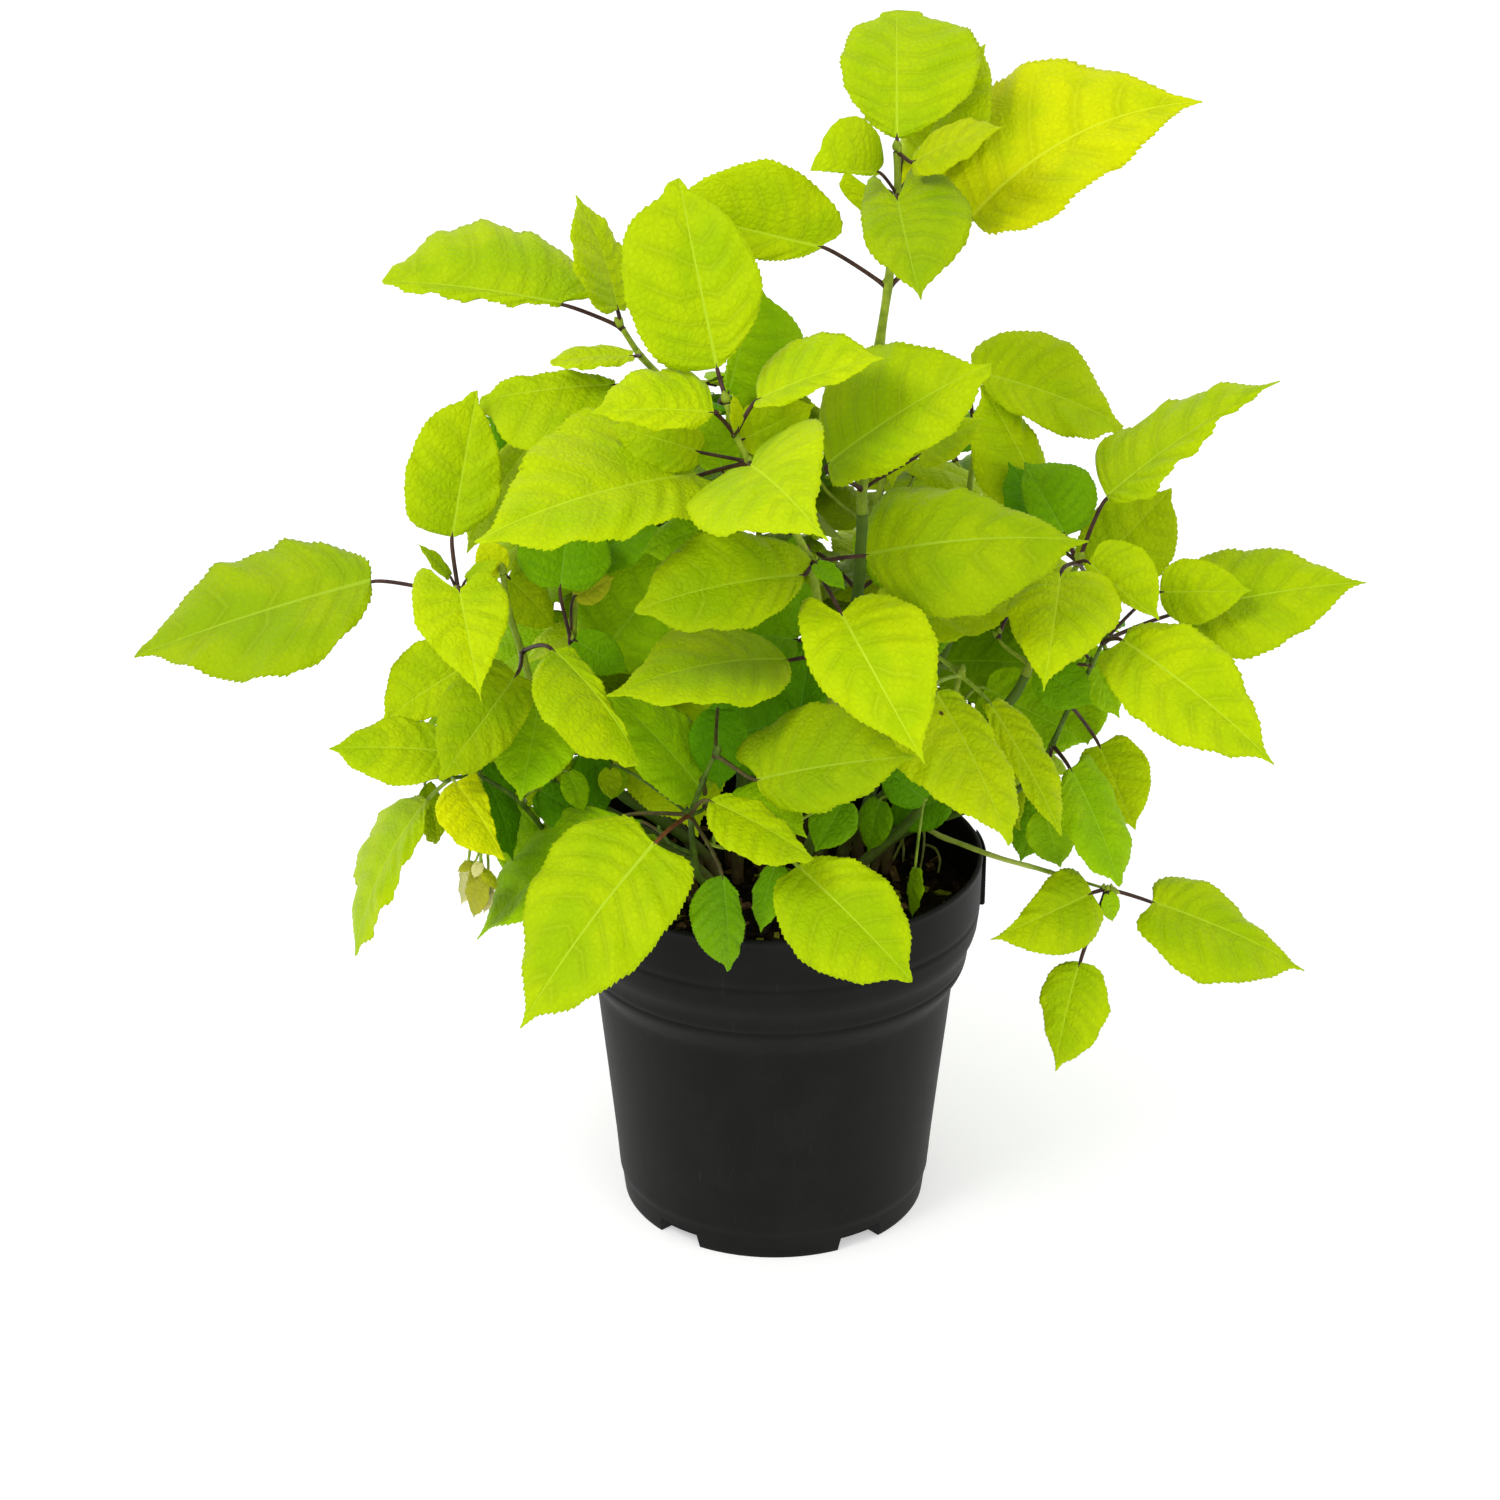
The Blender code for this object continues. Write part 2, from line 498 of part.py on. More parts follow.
def plan_plant():
    """Routes of all canes and stems, and each shoot's blades with their petioles."""
    room = Room()
    room.take("pot", "pot", ring_shell(((RIM_RADIUS - POT_WALL, SOIL_TOP), (RIM_RADIUS, POT_HEIGHT),
                                         (RIM_RADIUS, SHOULDER_HEIGHT), (BASE_RADIUS, 0.0)), SOIL_SIDES))
    room.take("pot", "pot", ring_shell(((SOIL_EYE, SOIL_TOP), (RIM_RADIUS, SOIL_TOP)), SOIL_SIDES))
    plans = {}
    starts = []
    for shoot in NEAR_SHOOTS:
        starts.append((shoot.name, shoot.foot, np.array([seen(*spot) for spot in shoot.stem])))
    for name, foot, low, high in FAR_SHOOTS:
        low, high = np.array(low), np.array(high)
        nodes = 1 + round(np.linalg.norm(high - low) / NODE_SPACING)
        rise = (high - low) + np.array((0.0, 0.0, FAR_RISE))
        starts.append((name, foot, flow(low, rise, high, rise, nodes)))
    for name, foot, nodes in starts:
        first_way = unit(nodes[1] - nodes[0])
        stem = np.vstack((nodes[0] - first_way * STEM_BELOW_NODE, nodes))
        cane = cane_route(name, foot, stem[0] - first_way * GAP, first_way)
        plans[name] = {"cane": cane, "stem": stem, "leaves": []}
        room.take(name, "cane", tube_shell(cane, CANE_RADIUS + ROOM))
        room.take(name, "stem", tube_shell(stem, STEM_RADIUS + ROOM))
    for shoot in NEAR_SHOOTS:
        for leaf in shoot.leaves:
            found = room.settle(shoot.name, plans[shoot.name]["stem"][1 + leaf.at], near_choices(leaf))
            if found:
                plans[shoot.name]["leaves"].append(found)
    rng = np.random.default_rng(SEED)
    for name, _, _, _ in FAR_SHOOTS:
        stem = plans[name]["stem"]
        first = rng.uniform(0.0, pi)
        for i, node in enumerate(stem[1:]):
            for half_turn in (0.0, pi):
                choices = far_choices(node, first + i * pi / 2 + half_turn, rng)
                found = room.settle(name, node, (blade for blade in choices if inside_crown(blade)))
                if found:
                    plans[name]["leaves"].append(found)
    return plans


def material(name, finish):
    """A plain surface finish."""
    colour, roughness, metallic = finish
    made = bpy.data.materials.new(name)
    made.use_nodes = True
    shader = made.node_tree.nodes["Principled BSDF"]
    shader.inputs["Base Color"].default_value = (*colour, 1.0)
    shader.inputs["Roughness"].default_value = roughness
    shader.inputs["Metallic"].default_value = metallic
    return made


def collection(name):
    """A new collection in the scene."""
    made = bpy.data.collections.new(name)
    bpy.context.scene.collection.children.link(made)
    return made


def limb(name, points, radii, sides_level, place):
    """A tapering round limb: a curve through points that carry their own radius, with closed ends."""
    curve = bpy.data.curves.new(name, "CURVE")
    curve.dimensions = "3D"
    curve.bevel_depth = 1.0
    curve.bevel_resolution = sides_level
    curve.use_fill_caps = True
    spline = curve.splines.new("POLY")
    spline.points.add(len(points) - 1)
    for knot, point, radius in zip(spline.points, points, radii):
        knot.co = (*point, 1.0)
        knot.radius = radius
    made = bpy.data.objects.new(name, curve)
    place.objects.link(made)
    return made


def solid(name, corners, faces, place):
    """A mesh object from corners and faces, with its faces turned outwards."""
    shape = bmesh.new()
    points = [shape.verts.new(corner) for corner in corners]
    for face in faces:
        shape.faces.new([points[i] for i in face])
    bmesh.ops.recalc_face_normals(shape, faces=shape.faces)
    mesh = bpy.data.meshes.new(name)
    shape.to_mesh(mesh)
    shape.free()
    made = bpy.data.objects.new(name, mesh)
    place.objects.link(made)
    return made


def as_mesh(obj, place, weld=True):
    """The object as modelled so far, as a plain mesh object of the same name, with its caps welded on."""
    graph = bpy.context.evaluated_depsgraph_get()
    mesh = bpy.data.meshes.new_from_object(obj.evaluated_get(graph))
    if weld:
        shape = bmesh.new()
        shape.from_mesh(mesh)
        bmesh.ops.remove_doubles(shape, verts=shape.verts, dist=1e-6)
        bmesh.ops.recalc_face_normals(shape, faces=shape.faces)
        shape.to_mesh(mesh)
        shape.free()
    name, matrix = obj.name, obj.matrix_world.copy()
    bpy.data.objects.remove(obj)
    made = bpy.data.objects.new(name, mesh)
    made.matrix_world = matrix
    place.objects.link(made)
    return made


def keep_largest_body(mesh):
    """Drops every loose scrap of a mesh but its largest body."""
    shape = bmesh.new()
    shape.from_mesh(mesh)
    bodies, waiting = [], set(shape.faces)
    while waiting:
        body = set()
        border = [waiting.pop()]
        while border:
            face = border.pop()
            body.add(face)
            for neighbour in {other for edge in face.edges for other in edge.link_faces} & waiting:
                waiting.discard(neighbour)
                border.append(neighbour)
        bodies.append(body)
    largest = max(bodies, key=len)
    bmesh.ops.delete(shape, geom=[face for face in shape.faces if face not in largest], context="FACES")
    shape.to_mesh(mesh)
    shape.free()


def make_shoot(name, plan, place, finish):
    """A leafy shoot: its stem, petioles and blades, joined into one body."""
    parts = collection(f"{name} parts")
    stem = plan["stem"]
    widths = np.linspace(STEM_RADIUS, STEM_TIP_RADIUS, len(stem))
    for i, (blade, stalk) in enumerate(plan["leaves"]):
        limb(f"{name} petiole {i}", stalk, [PETIOLE_RADIUS] * len(stalk), 0, parts)
        solid(f"{name} blade {i}", *blade_shell(blade), parts)
    body = limb(f"shoot_{name}", stem, widths, 1, place)
    bpy.context.view_layer.update()
    body = as_mesh(body, place)
    for part in [part for part in parts.objects if part.type == "CURVE"]:
        as_mesh(part, parts)
    join = body.modifiers.new("join leaves", "BOOLEAN")
    join.operation = "UNION"
    join.operand_type = "COLLECTION"
    join.collection = parts
    join.solver = "MANIFOLD"
    bpy.context.view_layer.update()
    body = as_mesh(body, place, weld=False)
    for part in list(parts.objects):
        bpy.data.objects.remove(part)
    bpy.data.collections.remove(parts)
    keep_largest_body(body.data)
    body.data.materials.append(finish)
    return body


def pot_profile():
    """The pot's outline from the rim down its outside, under the foot and floor, and up its inside."""
    inner_floor = FLOOR_UNDERSIDE + FLOOR_THICKNESS
    ring_inside = BASE_RADIUS - FOOT_RING_WIDTH
    return (
        (RIM_RADIUS - POT_WALL, POT_HEIGHT), (RIM_RADIUS, POT_HEIGHT),
        (COLLAR_FOOT_RADIUS, COLLAR_FOOT_HEIGHT),
        (BAND_RADIUS, COLLAR_FOOT_HEIGHT - COLLAR_STEP), (BAND_RADIUS, BAND_HEIGHT),
        (SHOULDER_RADIUS, SHOULDER_HEIGHT), (FOOT_RADIUS, FOOT_HEIGHT), (BASE_RADIUS, 0.0),
        (ring_inside, 0.0), (ring_inside, FLOOR_UNDERSIDE), (PAD_RADIUS, FLOOR_UNDERSIDE), (PAD_RADIUS, 0.0),
        (0.0, 0.0), (0.0, inner_floor), (inner_radius(inner_floor), inner_floor),
        (inner_radius(SHOULDER_HEIGHT), SHOULDER_HEIGHT), (BAND_RADIUS - POT_WALL, BAND_HEIGHT + BAND_STEP),
    )


def inner_radius(height):
    """The pot's inner radius below its shoulder."""
    share = (height - FOOT_HEIGHT) / (SHOULDER_HEIGHT - FOOT_HEIGHT)
    return FOOT_RADIUS + (SHOULDER_RADIUS - FOOT_RADIUS) * share - POT_WALL


def turned(name, profile, sides, place):
    """A solid of revolution round Z, from a closed profile of (radius, height)."""
    mesh = bpy.data.meshes.new(name)
    count = len(profile)
    on_axis = [i for i, (radius, _) in enumerate(profile) if radius == 0.0]
    edges = [(i, (i + 1) % count) for i in range(count) if not (i in on_axis and (i + 1) % count in on_axis)]
    mesh.from_pydata([(radius, 0.0, height) for radius, height in profile], edges, [])
    made = bpy.data.objects.new(name, mesh)
    place.objects.link(made)
    turn = made.modifiers.new("turn", "SCREW")
    turn.steps = turn.render_steps = sides
    turn.use_merge_vertices = True
    turn.merge_threshold = 1e-5
    bpy.context.view_layer.update()
    return as_mesh(made, place)


def block(name, size, middle, angle, place):
    """A box of that size, with its middle at radius middle[0] and height middle[1], turned by angle."""
    bpy.ops.mesh.primitive_cube_add(size=1.0)
    made = bpy.context.object
    made.name = made.data.name = name
    for holder in list(made.users_collection):
        holder.objects.unlink(made)
    place.objects.link(made)
    for corner in made.data.vertices:
        corner.co = Vector(corner.co[i] * size[i] for i in range(3))
    made.location = (middle[0] * cos(angle), middle[0] * sin(angle), middle[1])
    made.rotation_euler = (0.0, 0.0, angle)
    return made


def make_pot(place, cutters, finish):
    """The pot, with drainage notches through its foot ring and a label pocket on its collar."""
    pot = turned("pot", pot_profile(), POT_SIDES, place)
    for i in range(NOTCH_COUNT):
        angle = radians(NOTCH_FIRST_DEG) + 2 * pi * i / NOTCH_COUNT
        size = (3 * FOOT_RING_WIDTH, NOTCH_WIDTH, NOTCH_HEIGHT * 2)
        cutter = block(f"notch_{i}", size, (BASE_RADIUS - FOOT_RING_WIDTH / 2, 0.0), angle, cutters)
        cutter.hide_render = True
        cutter.display_type = "WIRE"
        cut = pot.modifiers.new(f"notch {i}", "BOOLEAN")
        cut.operation = "DIFFERENCE"
        cut.object = cutter
    angle = radians(POCKET_DEG)
    size = (POT_WALL + POCKET_PROUD, POCKET_WIDTH, POCKET_HEIGHT)
    middle = (RIM_RADIUS - POT_WALL / 2 + POCKET_PROUD / 2, POT_HEIGHT - POCKET_DROP - POCKET_HEIGHT / 2)
    pocket = block("label_pocket", size, middle, angle, cutters)
    pocket.hide_render = True
    pocket.display_type = "WIRE"
    join = pot.modifiers.new("label pocket", "BOOLEAN")
    join.operation = "UNION"
    join.object = pocket
    pot.data.materials.append(finish)
    return pot


def make_soil(place, finish):
    """The filled root ball: it has a flat top, and keeps a hair's gap to the flats of the pot's inside."""
    low = FLOOR_UNDERSIDE + FLOOR_THICKNESS + GAP
    top_radius = BAND_RADIUS - POT_WALL - 2 * GAP
    flat = cos(pi / POT_SIDES)
    profile = (
        (0.0, SOIL_TOP), (top_radius, SOIL_TOP), (top_radius, BAND_HEIGHT + SOIL_STEP),
        ((inner_radius(SHOULDER_HEIGHT) - 2 * GAP) * flat, SHOULDER_HEIGHT),
        ((inner_radius(low) - 2 * GAP) * flat, low), (0.0, low),
    )
    soil = turned("soil", profile, SOIL_SIDES, place)
    soil.data.materials.append(finish)
    return soil


def make_stump(place, finish):
    """The low woody crown between the canes, flared where it meets the soil."""
    low = SOIL_TOP + GAP
    profile = (
        (0.0, low + STUMP_HEIGHT), (STUMP_RADIUS * STUMP_TOP_SHARE, low + STUMP_HEIGHT),
        (STUMP_RADIUS, low + STUMP_HEIGHT * STUMP_TOP_SHARE), (STUMP_RADIUS * STUMP_FLARE, low), (0.0, low),
    )
    stump = turned("woody_crown", profile, STUMP_SIDES, place)
    stump.data.materials.append(finish)
    return stump


def main():
    """Clears the scene and builds pot, soil, woody crown, canes and shoots."""
    for old in list(bpy.data.objects):
        bpy.data.objects.remove(old)
    shrub = collection("potted hydrangea")
    cutters = collection("cutters")
    make_pot(shrub, cutters, material("black plastic", BLACK_PLASTIC))
    make_soil(shrub, material("soil", SOIL))
    make_stump(shrub, material("wood", WOOD))
    for name, plan in plan_plant().items():
        cane_widths = np.linspace(CANE_RADIUS, STEM_RADIUS, len(plan["cane"]))
        cane = limb(f"cane_{name}", plan["cane"], cane_widths, 1, shrub)
        cane.data.materials.append(material(f"cane {name}", CANE_GREEN))
        make_shoot(name, plan, shrub, material(f"leaves {name}", LIME))


main()
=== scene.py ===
"""Looks of the potted hydrangea shrub: toothed, veined leaves on petioles and canes, soil and a nursery pot.

Metres, +Z up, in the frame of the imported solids: the pot's axis is the Z axis and the ground is z = 0.
Each shape is a grid of two parameters worked out with numpy, or a profile carried along a path.
Leaves settle by the same rule and the same rows as the solids that they replace.
"""

from collections import namedtuple
from math import cos, pi, radians, sin

import bpy
import numpy as np
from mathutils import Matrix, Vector
from mathutils.bvhtree import BVHTree


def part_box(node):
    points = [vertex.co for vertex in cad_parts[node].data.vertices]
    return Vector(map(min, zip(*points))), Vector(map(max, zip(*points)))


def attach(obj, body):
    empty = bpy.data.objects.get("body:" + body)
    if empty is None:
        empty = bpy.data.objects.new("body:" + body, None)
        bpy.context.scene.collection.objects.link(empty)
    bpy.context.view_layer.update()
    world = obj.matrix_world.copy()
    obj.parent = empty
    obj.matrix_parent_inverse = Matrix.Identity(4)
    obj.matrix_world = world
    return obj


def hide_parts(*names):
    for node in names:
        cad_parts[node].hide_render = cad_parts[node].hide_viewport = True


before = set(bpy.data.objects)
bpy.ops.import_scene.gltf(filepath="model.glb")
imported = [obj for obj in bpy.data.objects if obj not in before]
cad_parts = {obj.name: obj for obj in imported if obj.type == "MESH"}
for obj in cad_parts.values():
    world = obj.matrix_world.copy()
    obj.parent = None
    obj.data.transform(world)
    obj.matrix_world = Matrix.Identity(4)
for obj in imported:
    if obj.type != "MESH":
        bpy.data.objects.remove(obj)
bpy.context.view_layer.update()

UP = np.array((0.0, 0.0, 1.0))

# The viewer, who sees a square picture
EYE = np.array((-0.0133, -1.4717, 0.899))
PITCH = radians(23.37)
FOCAL_PX = 3015.4
MIDDLE_PX = 750.0
PICTURE_PX = 1500.0
SENSOR_MM = 36.0

# Pot, soil and stump, as the solids have them
POT_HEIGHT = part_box("pot")[1][2]
RIM_RADIUS = 0.112
SHOULDER_HEIGHT = 0.1305
BASE_RADIUS = 0.0837
POT_WALL = 0.0022
SOIL_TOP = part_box("soil")[1][2]
GAP = 0.0003
ROUND_SIDES = 24
SOIL_EYE = 0.001

# Canes, stems and petioles. ODD_WAY is a direction that none of them follows.
CANE_RADIUS = 0.0032
STEM_RADIUS = 0.0025
STEM_TIP_RADIUS = 0.0014
PETIOLE_RADIUS = 0.0011
CANE_SPANS = 3
CANE_FINENESS = 10
STRAIGHT_END = 0.004
STEM_BELOW_NODE = 0.006
PETIOLE_SPANS = 2
PETIOLE_PULL = 0.8
PETIOLE_RISE = 0.25
ODD_WAY = (0.31, 0.77, 0.55)

# Leaf blades, as the solids have them
BLADE_RATIO = 0.66
BLADE_THICKNESS = 0.016
ROOT_SHARE = 0.14
LEAST_HALF = 0.12
SHOULDER, WIDEST, TAPER = (0.06, 0.66), (0.38, 1.0), (0.74, 0.62)

# Room kept round each blade, and the steps by which a blade makes way along the line of sight
ROOM = 0.0006
STEP = 0.004
STEPS = 10

# Far shoots grow by rule. Pairs of values are the ends of a range.
SEED = 11
NODE_SPACING = 0.043
FAR_RISE = 0.03
FAR_LEAF_LENGTH = 0.092
FAR_PETIOLE_LENGTH = 0.030
FAR_OUTWARD = 0.4
FAR_CLIMB = 0.15
FAR_LIFT = 0.5
FAR_LOBE = 0.03
FAR_SWING = (-0.5, 0.5)
FAR_TILT = (-0.35, 0.35)
FAR_DROOP = (0.15, 0.75)
FAR_ARCH = (0.03, 0.10)
FAR_PETIOLE_RANGE = (0.7, 1.3)
FAR_LENGTH_RANGE = (0.85, 1.2)
FAR_WIDTH_RANGE = (0.95, 1.12)
FAR_SIZES = (1.0, 1.0, 0.9, 0.9, 0.8, 0.8, 0.7, 0.7, 0.6)

# The part of the picture that the near leaves fill, where far leaves may stand behind them
CROWN_OUTLINE = (
    (478, 500), (505, 410), (640, 402), (760, 352), (975, 372), (1000, 425), (1035, 480), (1110, 520),
    (1150, 590), (1110, 660), (1095, 760), (1040, 830), (960, 850), (620, 880), (500, 850), (440, 770),
    (400, 720), (470, 640),
)

# Leaf colours, as linear red, green and blue. From bright to deep they are partly the leaves' own greens and
# partly painted light and shade: dark and deep darken leaves inside the crown as painted shade.
TONES = {
    "bright": (0.40, 0.55, 0.0),
    "mid": (0.35, 0.50, 0.0),
    "soft": (0.27, 0.40, 0.0),
    "green": (0.265, 0.48, 0.0),
    "dark": (0.145, 0.335, 0.0),
    "deep": (0.095, 0.28, 0.0),
    "pale": (0.37, 0.47, 0.0),
    "bronze": (0.38, 0.43, 0.01),
    "olive": (0.32, 0.34, 0.02),
    "yellow": (0.53, 0.61, 0.0),
    "withered": (0.59, 0.57, 0.21),
}
SPOT_BROWN = (0.085, 0.050, 0.008)
LEAF_GLEAM = (0.85, 1.0, 0.35)

Leaf = namedtuple("Leaf", "joint tip wide forward at tone left arch lobe bow",
                  defaults=(0.5, 0.04, 0.0, 0.0))
Shoot = namedtuple("Shoot", "name foot stem leaves stalk")
Blade = namedtuple("Blade", "joint tip halves normal arch lobe bow")

# Near shoots. foot is where the cane leaves the soil, in metres. stem holds (px, py, metres forward).
# A leaf's wide is its width as seen in pixels, forward holds its joint and tip, at is its place on the stem,
# left is the share of the width left of the way from joint to tip, arch is the midrib's rise to its length,
# lobe is how far the base reaches back past the joint, and bow is how far the midrib bends to the right,
# both to the length. stalk names the petioles' colour.
NEAR_SHOOTS = (
    Shoot("leader", (0.022, 0.008), (
        (862, 502, 0.0), (862, 490, 0.0), (880, 340, 0.0), (888, 288, 0.0), (898, 196, 0.0),
        (897, 152, 0.0),
    ), (
        Leaf((897, 138), (892, 12), 136, (0.0, -0.065), 5, "mid", 0.4, 0.08),
        Leaf((913, 162), (1001, 125), 42, (0.012, 0.03), 5, "pale", 0.6),
        Leaf((916, 165), (984, 42), 75, (-0.03, -0.06), 4, "bright"),
        Leaf((972, 218), (1200, 97), 135, (-0.01, -0.03), 3, "yellow", 0.5, 0.03, 0.0, -0.1),
        Leaf((878, 172), (811, 175), 62, (0.01, 0.03), 4, "mid", 0.2, 0.2),
        Leaf((872, 188), (858, 213), 30, (-0.02, -0.02), 4, "bright"),
        Leaf((897, 198), (920, 298), 107, (0.02, 0.085), 4, "soft", 0.6, 0.04),
        Leaf((822, 247), (679, 177), 108, (0.0, 0.0), 3, "bright", 0.4, 0.06, 0.08),
        Leaf((828, 464), (990, 363), 108, (0.05, 0.07), 1, "mid", 0.68, 0.05, 0.06),
        Leaf((918, 456), (985, 418), 40, (0.0, 0.0), 1, "bright"),
    ), "dark"),
    Shoot("upper_left", (-0.020, 0.016), (
        (692, 425, -0.01), (672, 388, -0.015), (640, 356, -0.02), (622, 328, -0.02),
    ), (
        Leaf((562, 304), (382, 281), 84, (-0.02, -0.04), 3, "mid", 0.18, 0.03),
        Leaf((618, 310), (578, 194), 52, (-0.02, -0.04), 3, "bright", 0.54),
        Leaf((633, 356), (551, 363), 24, (0.0, 0.01), 2, "bright", 0.4),
        Leaf((728, 395), (763, 290), 85, (0.0, -0.01), 0, "green", 0.35),
        Leaf((615, 385), (480, 395), 75, (0.0, 0.0), 1, "mid", 0.8),
    ), "dark"),
    Shoot("centre", (0.012, -0.022), (
        (833, 710, 0.08), (826, 655, 0.08), (812, 563, 0.08), (780, 505, 0.08), (750, 463, 0.08),
        (735, 435, 0.08), (727, 404, 0.08),
    ), (
        Leaf((717, 368), (660, 192), 142, (0.07, 0.03), 6, "mid", 0.49, 0.05, 0.05),
        Leaf((738, 428), (733, 394), 14, (0.09, 0.09), 5, "pale"),
        Leaf((714, 413), (592, 402), 58, (0.085, 0.10), 5, "bright"),
        Leaf((757, 400), (884, 357), 56, (0.07, 0.085), 5, "bright", 0.77),
        Leaf((750, 466), (826, 537), 134, (0.10, 0.19), 4, "bright", 0.5, 0.08, 0.24),
        Leaf((697, 475), (475, 540), 118, (0.06, 0.13), 4, "bright", 0.33, 0.05, 0.03),
        Leaf((866, 555), (1088, 540), 128, (0.09, 0.11), 2, "soft", 0.5, 0.07, 0.05),
        Leaf((803, 575), (637, 607), 96, (0.10, 0.12), 2, "soft", 0.43, 0.06, 0.04),
        Leaf((841, 613), (924, 762), 128, (0.12, 0.175), 2, "bright", 0.58, 0.06, 0.12),
        Leaf((816, 563), (845, 590), 22, (0.09, 0.10), 2, "dark"),
        Leaf((806, 545), (782, 553), 24, (0.07, 0.07), 2, "dark"),
        Leaf((787, 660), (612, 690), 71, (0.07, 0.12), 1, "mid", 0.48, 0.06),
        Leaf((798, 640), (668, 632), 78, (0.045, 0.03), 1, "dark"),
        Leaf((852, 650), (962, 622), 80, (0.04, 0.02), 1, "dark"),
        Leaf((790, 722), (690, 742), 92, (0.05, 0.03), 0, "deep"),
    ), "dark"),
    Shoot("left_outer", (-0.046, -0.006), (
        (500, 720, 0.04), (478, 655, 0.05), (459, 597, 0.055),
    ), (
        Leaf((371, 581), (133, 656), 122, (0.05, 0.04), 2, "soft", 0.5, 0.02),
        Leaf((452, 537), (478, 391), 106, (0.04, 0.01), 2, "mid", 0.57, 0.03, 0.02),
        Leaf((459, 589), (481, 700), 93, (0.08, 0.127), 2, "bright", 0.45, 0.06, 0.13),
        Leaf((450, 576), (418, 544), 14, (0.05, 0.05), 2, "mid"),
        Leaf((466, 580), (500, 560), 20, (0.05, 0.05), 2, "mid"),
        Leaf((462, 668), (380, 722), 60, (0.06, 0.07), 1, "bright", 0.44),
    ), "dark"),
    Shoot("left_inner", (-0.030, -0.020), (
        (548, 760, 0.04), (540, 715, 0.045), (522, 652, 0.045), (508, 610, 0.045), (503, 575, 0.045),
    ), (
        Leaf((500, 572), (480, 540), 35, (0.045, 0.04), 4, "yellow"),
        Leaf((508, 577), (556, 628), 48, (0.03, 0.02), 4, "mid"),
        Leaf((517, 674), (440, 780), 95, (0.08, 0.12), 2, "soft"),
        Leaf((553, 650), (640, 760), 79, (0.09, 0.14), 2, "mid", 0.28, 0.06, 0.05),
        Leaf((450, 752), (329, 748), 68, (0.09, 0.09), 1, "mid"),
        Leaf((540, 700), (520, 800), 92, (0.06, 0.10), 1, "green"),
    ), "dark"),
    Shoot("left_low", (-0.040, -0.036), (
        (560, 850, 0.05), (520, 800, 0.07), (480, 775, 0.08), (452, 778, 0.085),
    ), (
        Leaf((427, 800), (352, 953), 46, (0.08, 0.10), 3, "mid", 0.15, 0.06),
        Leaf((455, 782), (508, 861), 58, (0.10, 0.13), 3, "yellow"),
        Leaf((425, 785), (440, 843), 30, (0.07, 0.07), 3, "bright"),
        Leaf((480, 765), (515, 860), 48, (0.06, 0.07), 2, "deep"),
        Leaf((540, 790), (600, 832), 45, (0.05, 0.065), 1, "deep"),
        Leaf((568, 772), (585, 812), 28, (0.065, 0.07), 1, "green"),
        Leaf((468, 862), (461, 905), 16, (0.088, 0.088), 2, "withered"),
        Leaf((488, 872), (484, 914), 16, (0.095, 0.095), 2, "withered"),
    ), "green"),
    Shoot("left_mid", (-0.030, 0.000), (
        (592, 740, 0.02), (571, 642, 0.03), (580, 560, 0.01), (590, 475, -0.01),
    ), (
        Leaf((560, 588), (570, 505), 96, (0.035, 0.01), 1, "dark"),
        Leaf((575, 596), (614, 577), 32, (0.02, 0.015), 1, "bronze"),
        Leaf((600, 655), (690, 545), 122, (0.01, -0.01), 1, "green"),
        Leaf((608, 742), (672, 690), 72, (0.03, 0.02), 0, "green"),
        Leaf((530, 445), (465, 552), 60, (0.0, 0.02), 3, "bright"),
        Leaf((575, 450), (562, 408), 15, (-0.01, -0.01), 3, "pale"),
    ), "dark"),
    Shoot("right_upper", (0.036, 0.022), (
        (1030, 665, 0.02), (1055, 610, 0.03), (1078, 563, 0.035),
    ), (
        Leaf((1107, 497), (1278, 378), 70, (0.03, 0.03), 2, "mid", 0.73, 0.03, 0.03),
        Leaf((1061, 573), (1045, 688), 110, (0.07, 0.125), 2, "bright", 0.59, 0.06, 0.1),
        Leaf((1066, 536), (1024, 462), 74, (0.03, 0.0), 2, "dark", 0.3, 0.1),
        Leaf((1052, 540), (1008, 462), 52, (0.005, -0.02), 2, "deep"),
        Leaf((1088, 562), (1158, 621), 72, (0.05, 0.08), 2, "mid"),
        Leaf((1092, 572), (1172, 488), 90, (0.0, -0.02), 2, "mid", 0.45),
        Leaf((1045, 505), (977, 405), 74, (-0.02, -0.04), 2, "bright", 0.62),
    ), "dark"),
    Shoot("right_back", (0.026, 0.034), (
        (955, 600, -0.02), (968, 500, -0.05), (975, 445, -0.055),
    ), (
        Leaf((975, 372), (1122, 434), 88, (-0.05, -0.04), 2, "mid", 0.71, 0.06, 0.03),
    ), "dark"),
    Shoot("right_lower", (0.054, 0.014), (
        (1052, 745, 0.03), (1070, 705, 0.035), (1092, 665, 0.045), (1103, 642, 0.05),
    ), (
        Leaf((1122, 640), (1276, 762), 117, (0.07, 0.11), 3, "bright", 0.5, 0.05, 0.04),
        Leaf((1180, 612), (1365, 581), 104, (0.02, 0.02), 3, "mid", 0.49, 0.03),
        Leaf((1160, 592), (1252, 592), 66, (0.03, 0.04), 3, "mid"),
        Leaf((1083, 650), (1120, 718), 45, (0.03, 0.04), 2, "green"),
        Leaf((1099, 745), (1135, 830), 64, (0.02, 0.04), 1, "bright"),
        Leaf((1070, 768), (1120, 886), 68, (0.05, 0.08), 0, "green"),
        Leaf((1045, 812), (1060, 868), 50, (0.03, 0.03), 0, "green"),
    ), "dark"),
    Shoot("right_inner", (0.034, -0.020), (
        (925, 790, 0.03), (945, 730, 0.045), (960, 675, 0.05),
    ), (
        Leaf((935, 692), (1008, 846), 94, (0.09, 0.13), 2, "bright", 0.38, 0.06),
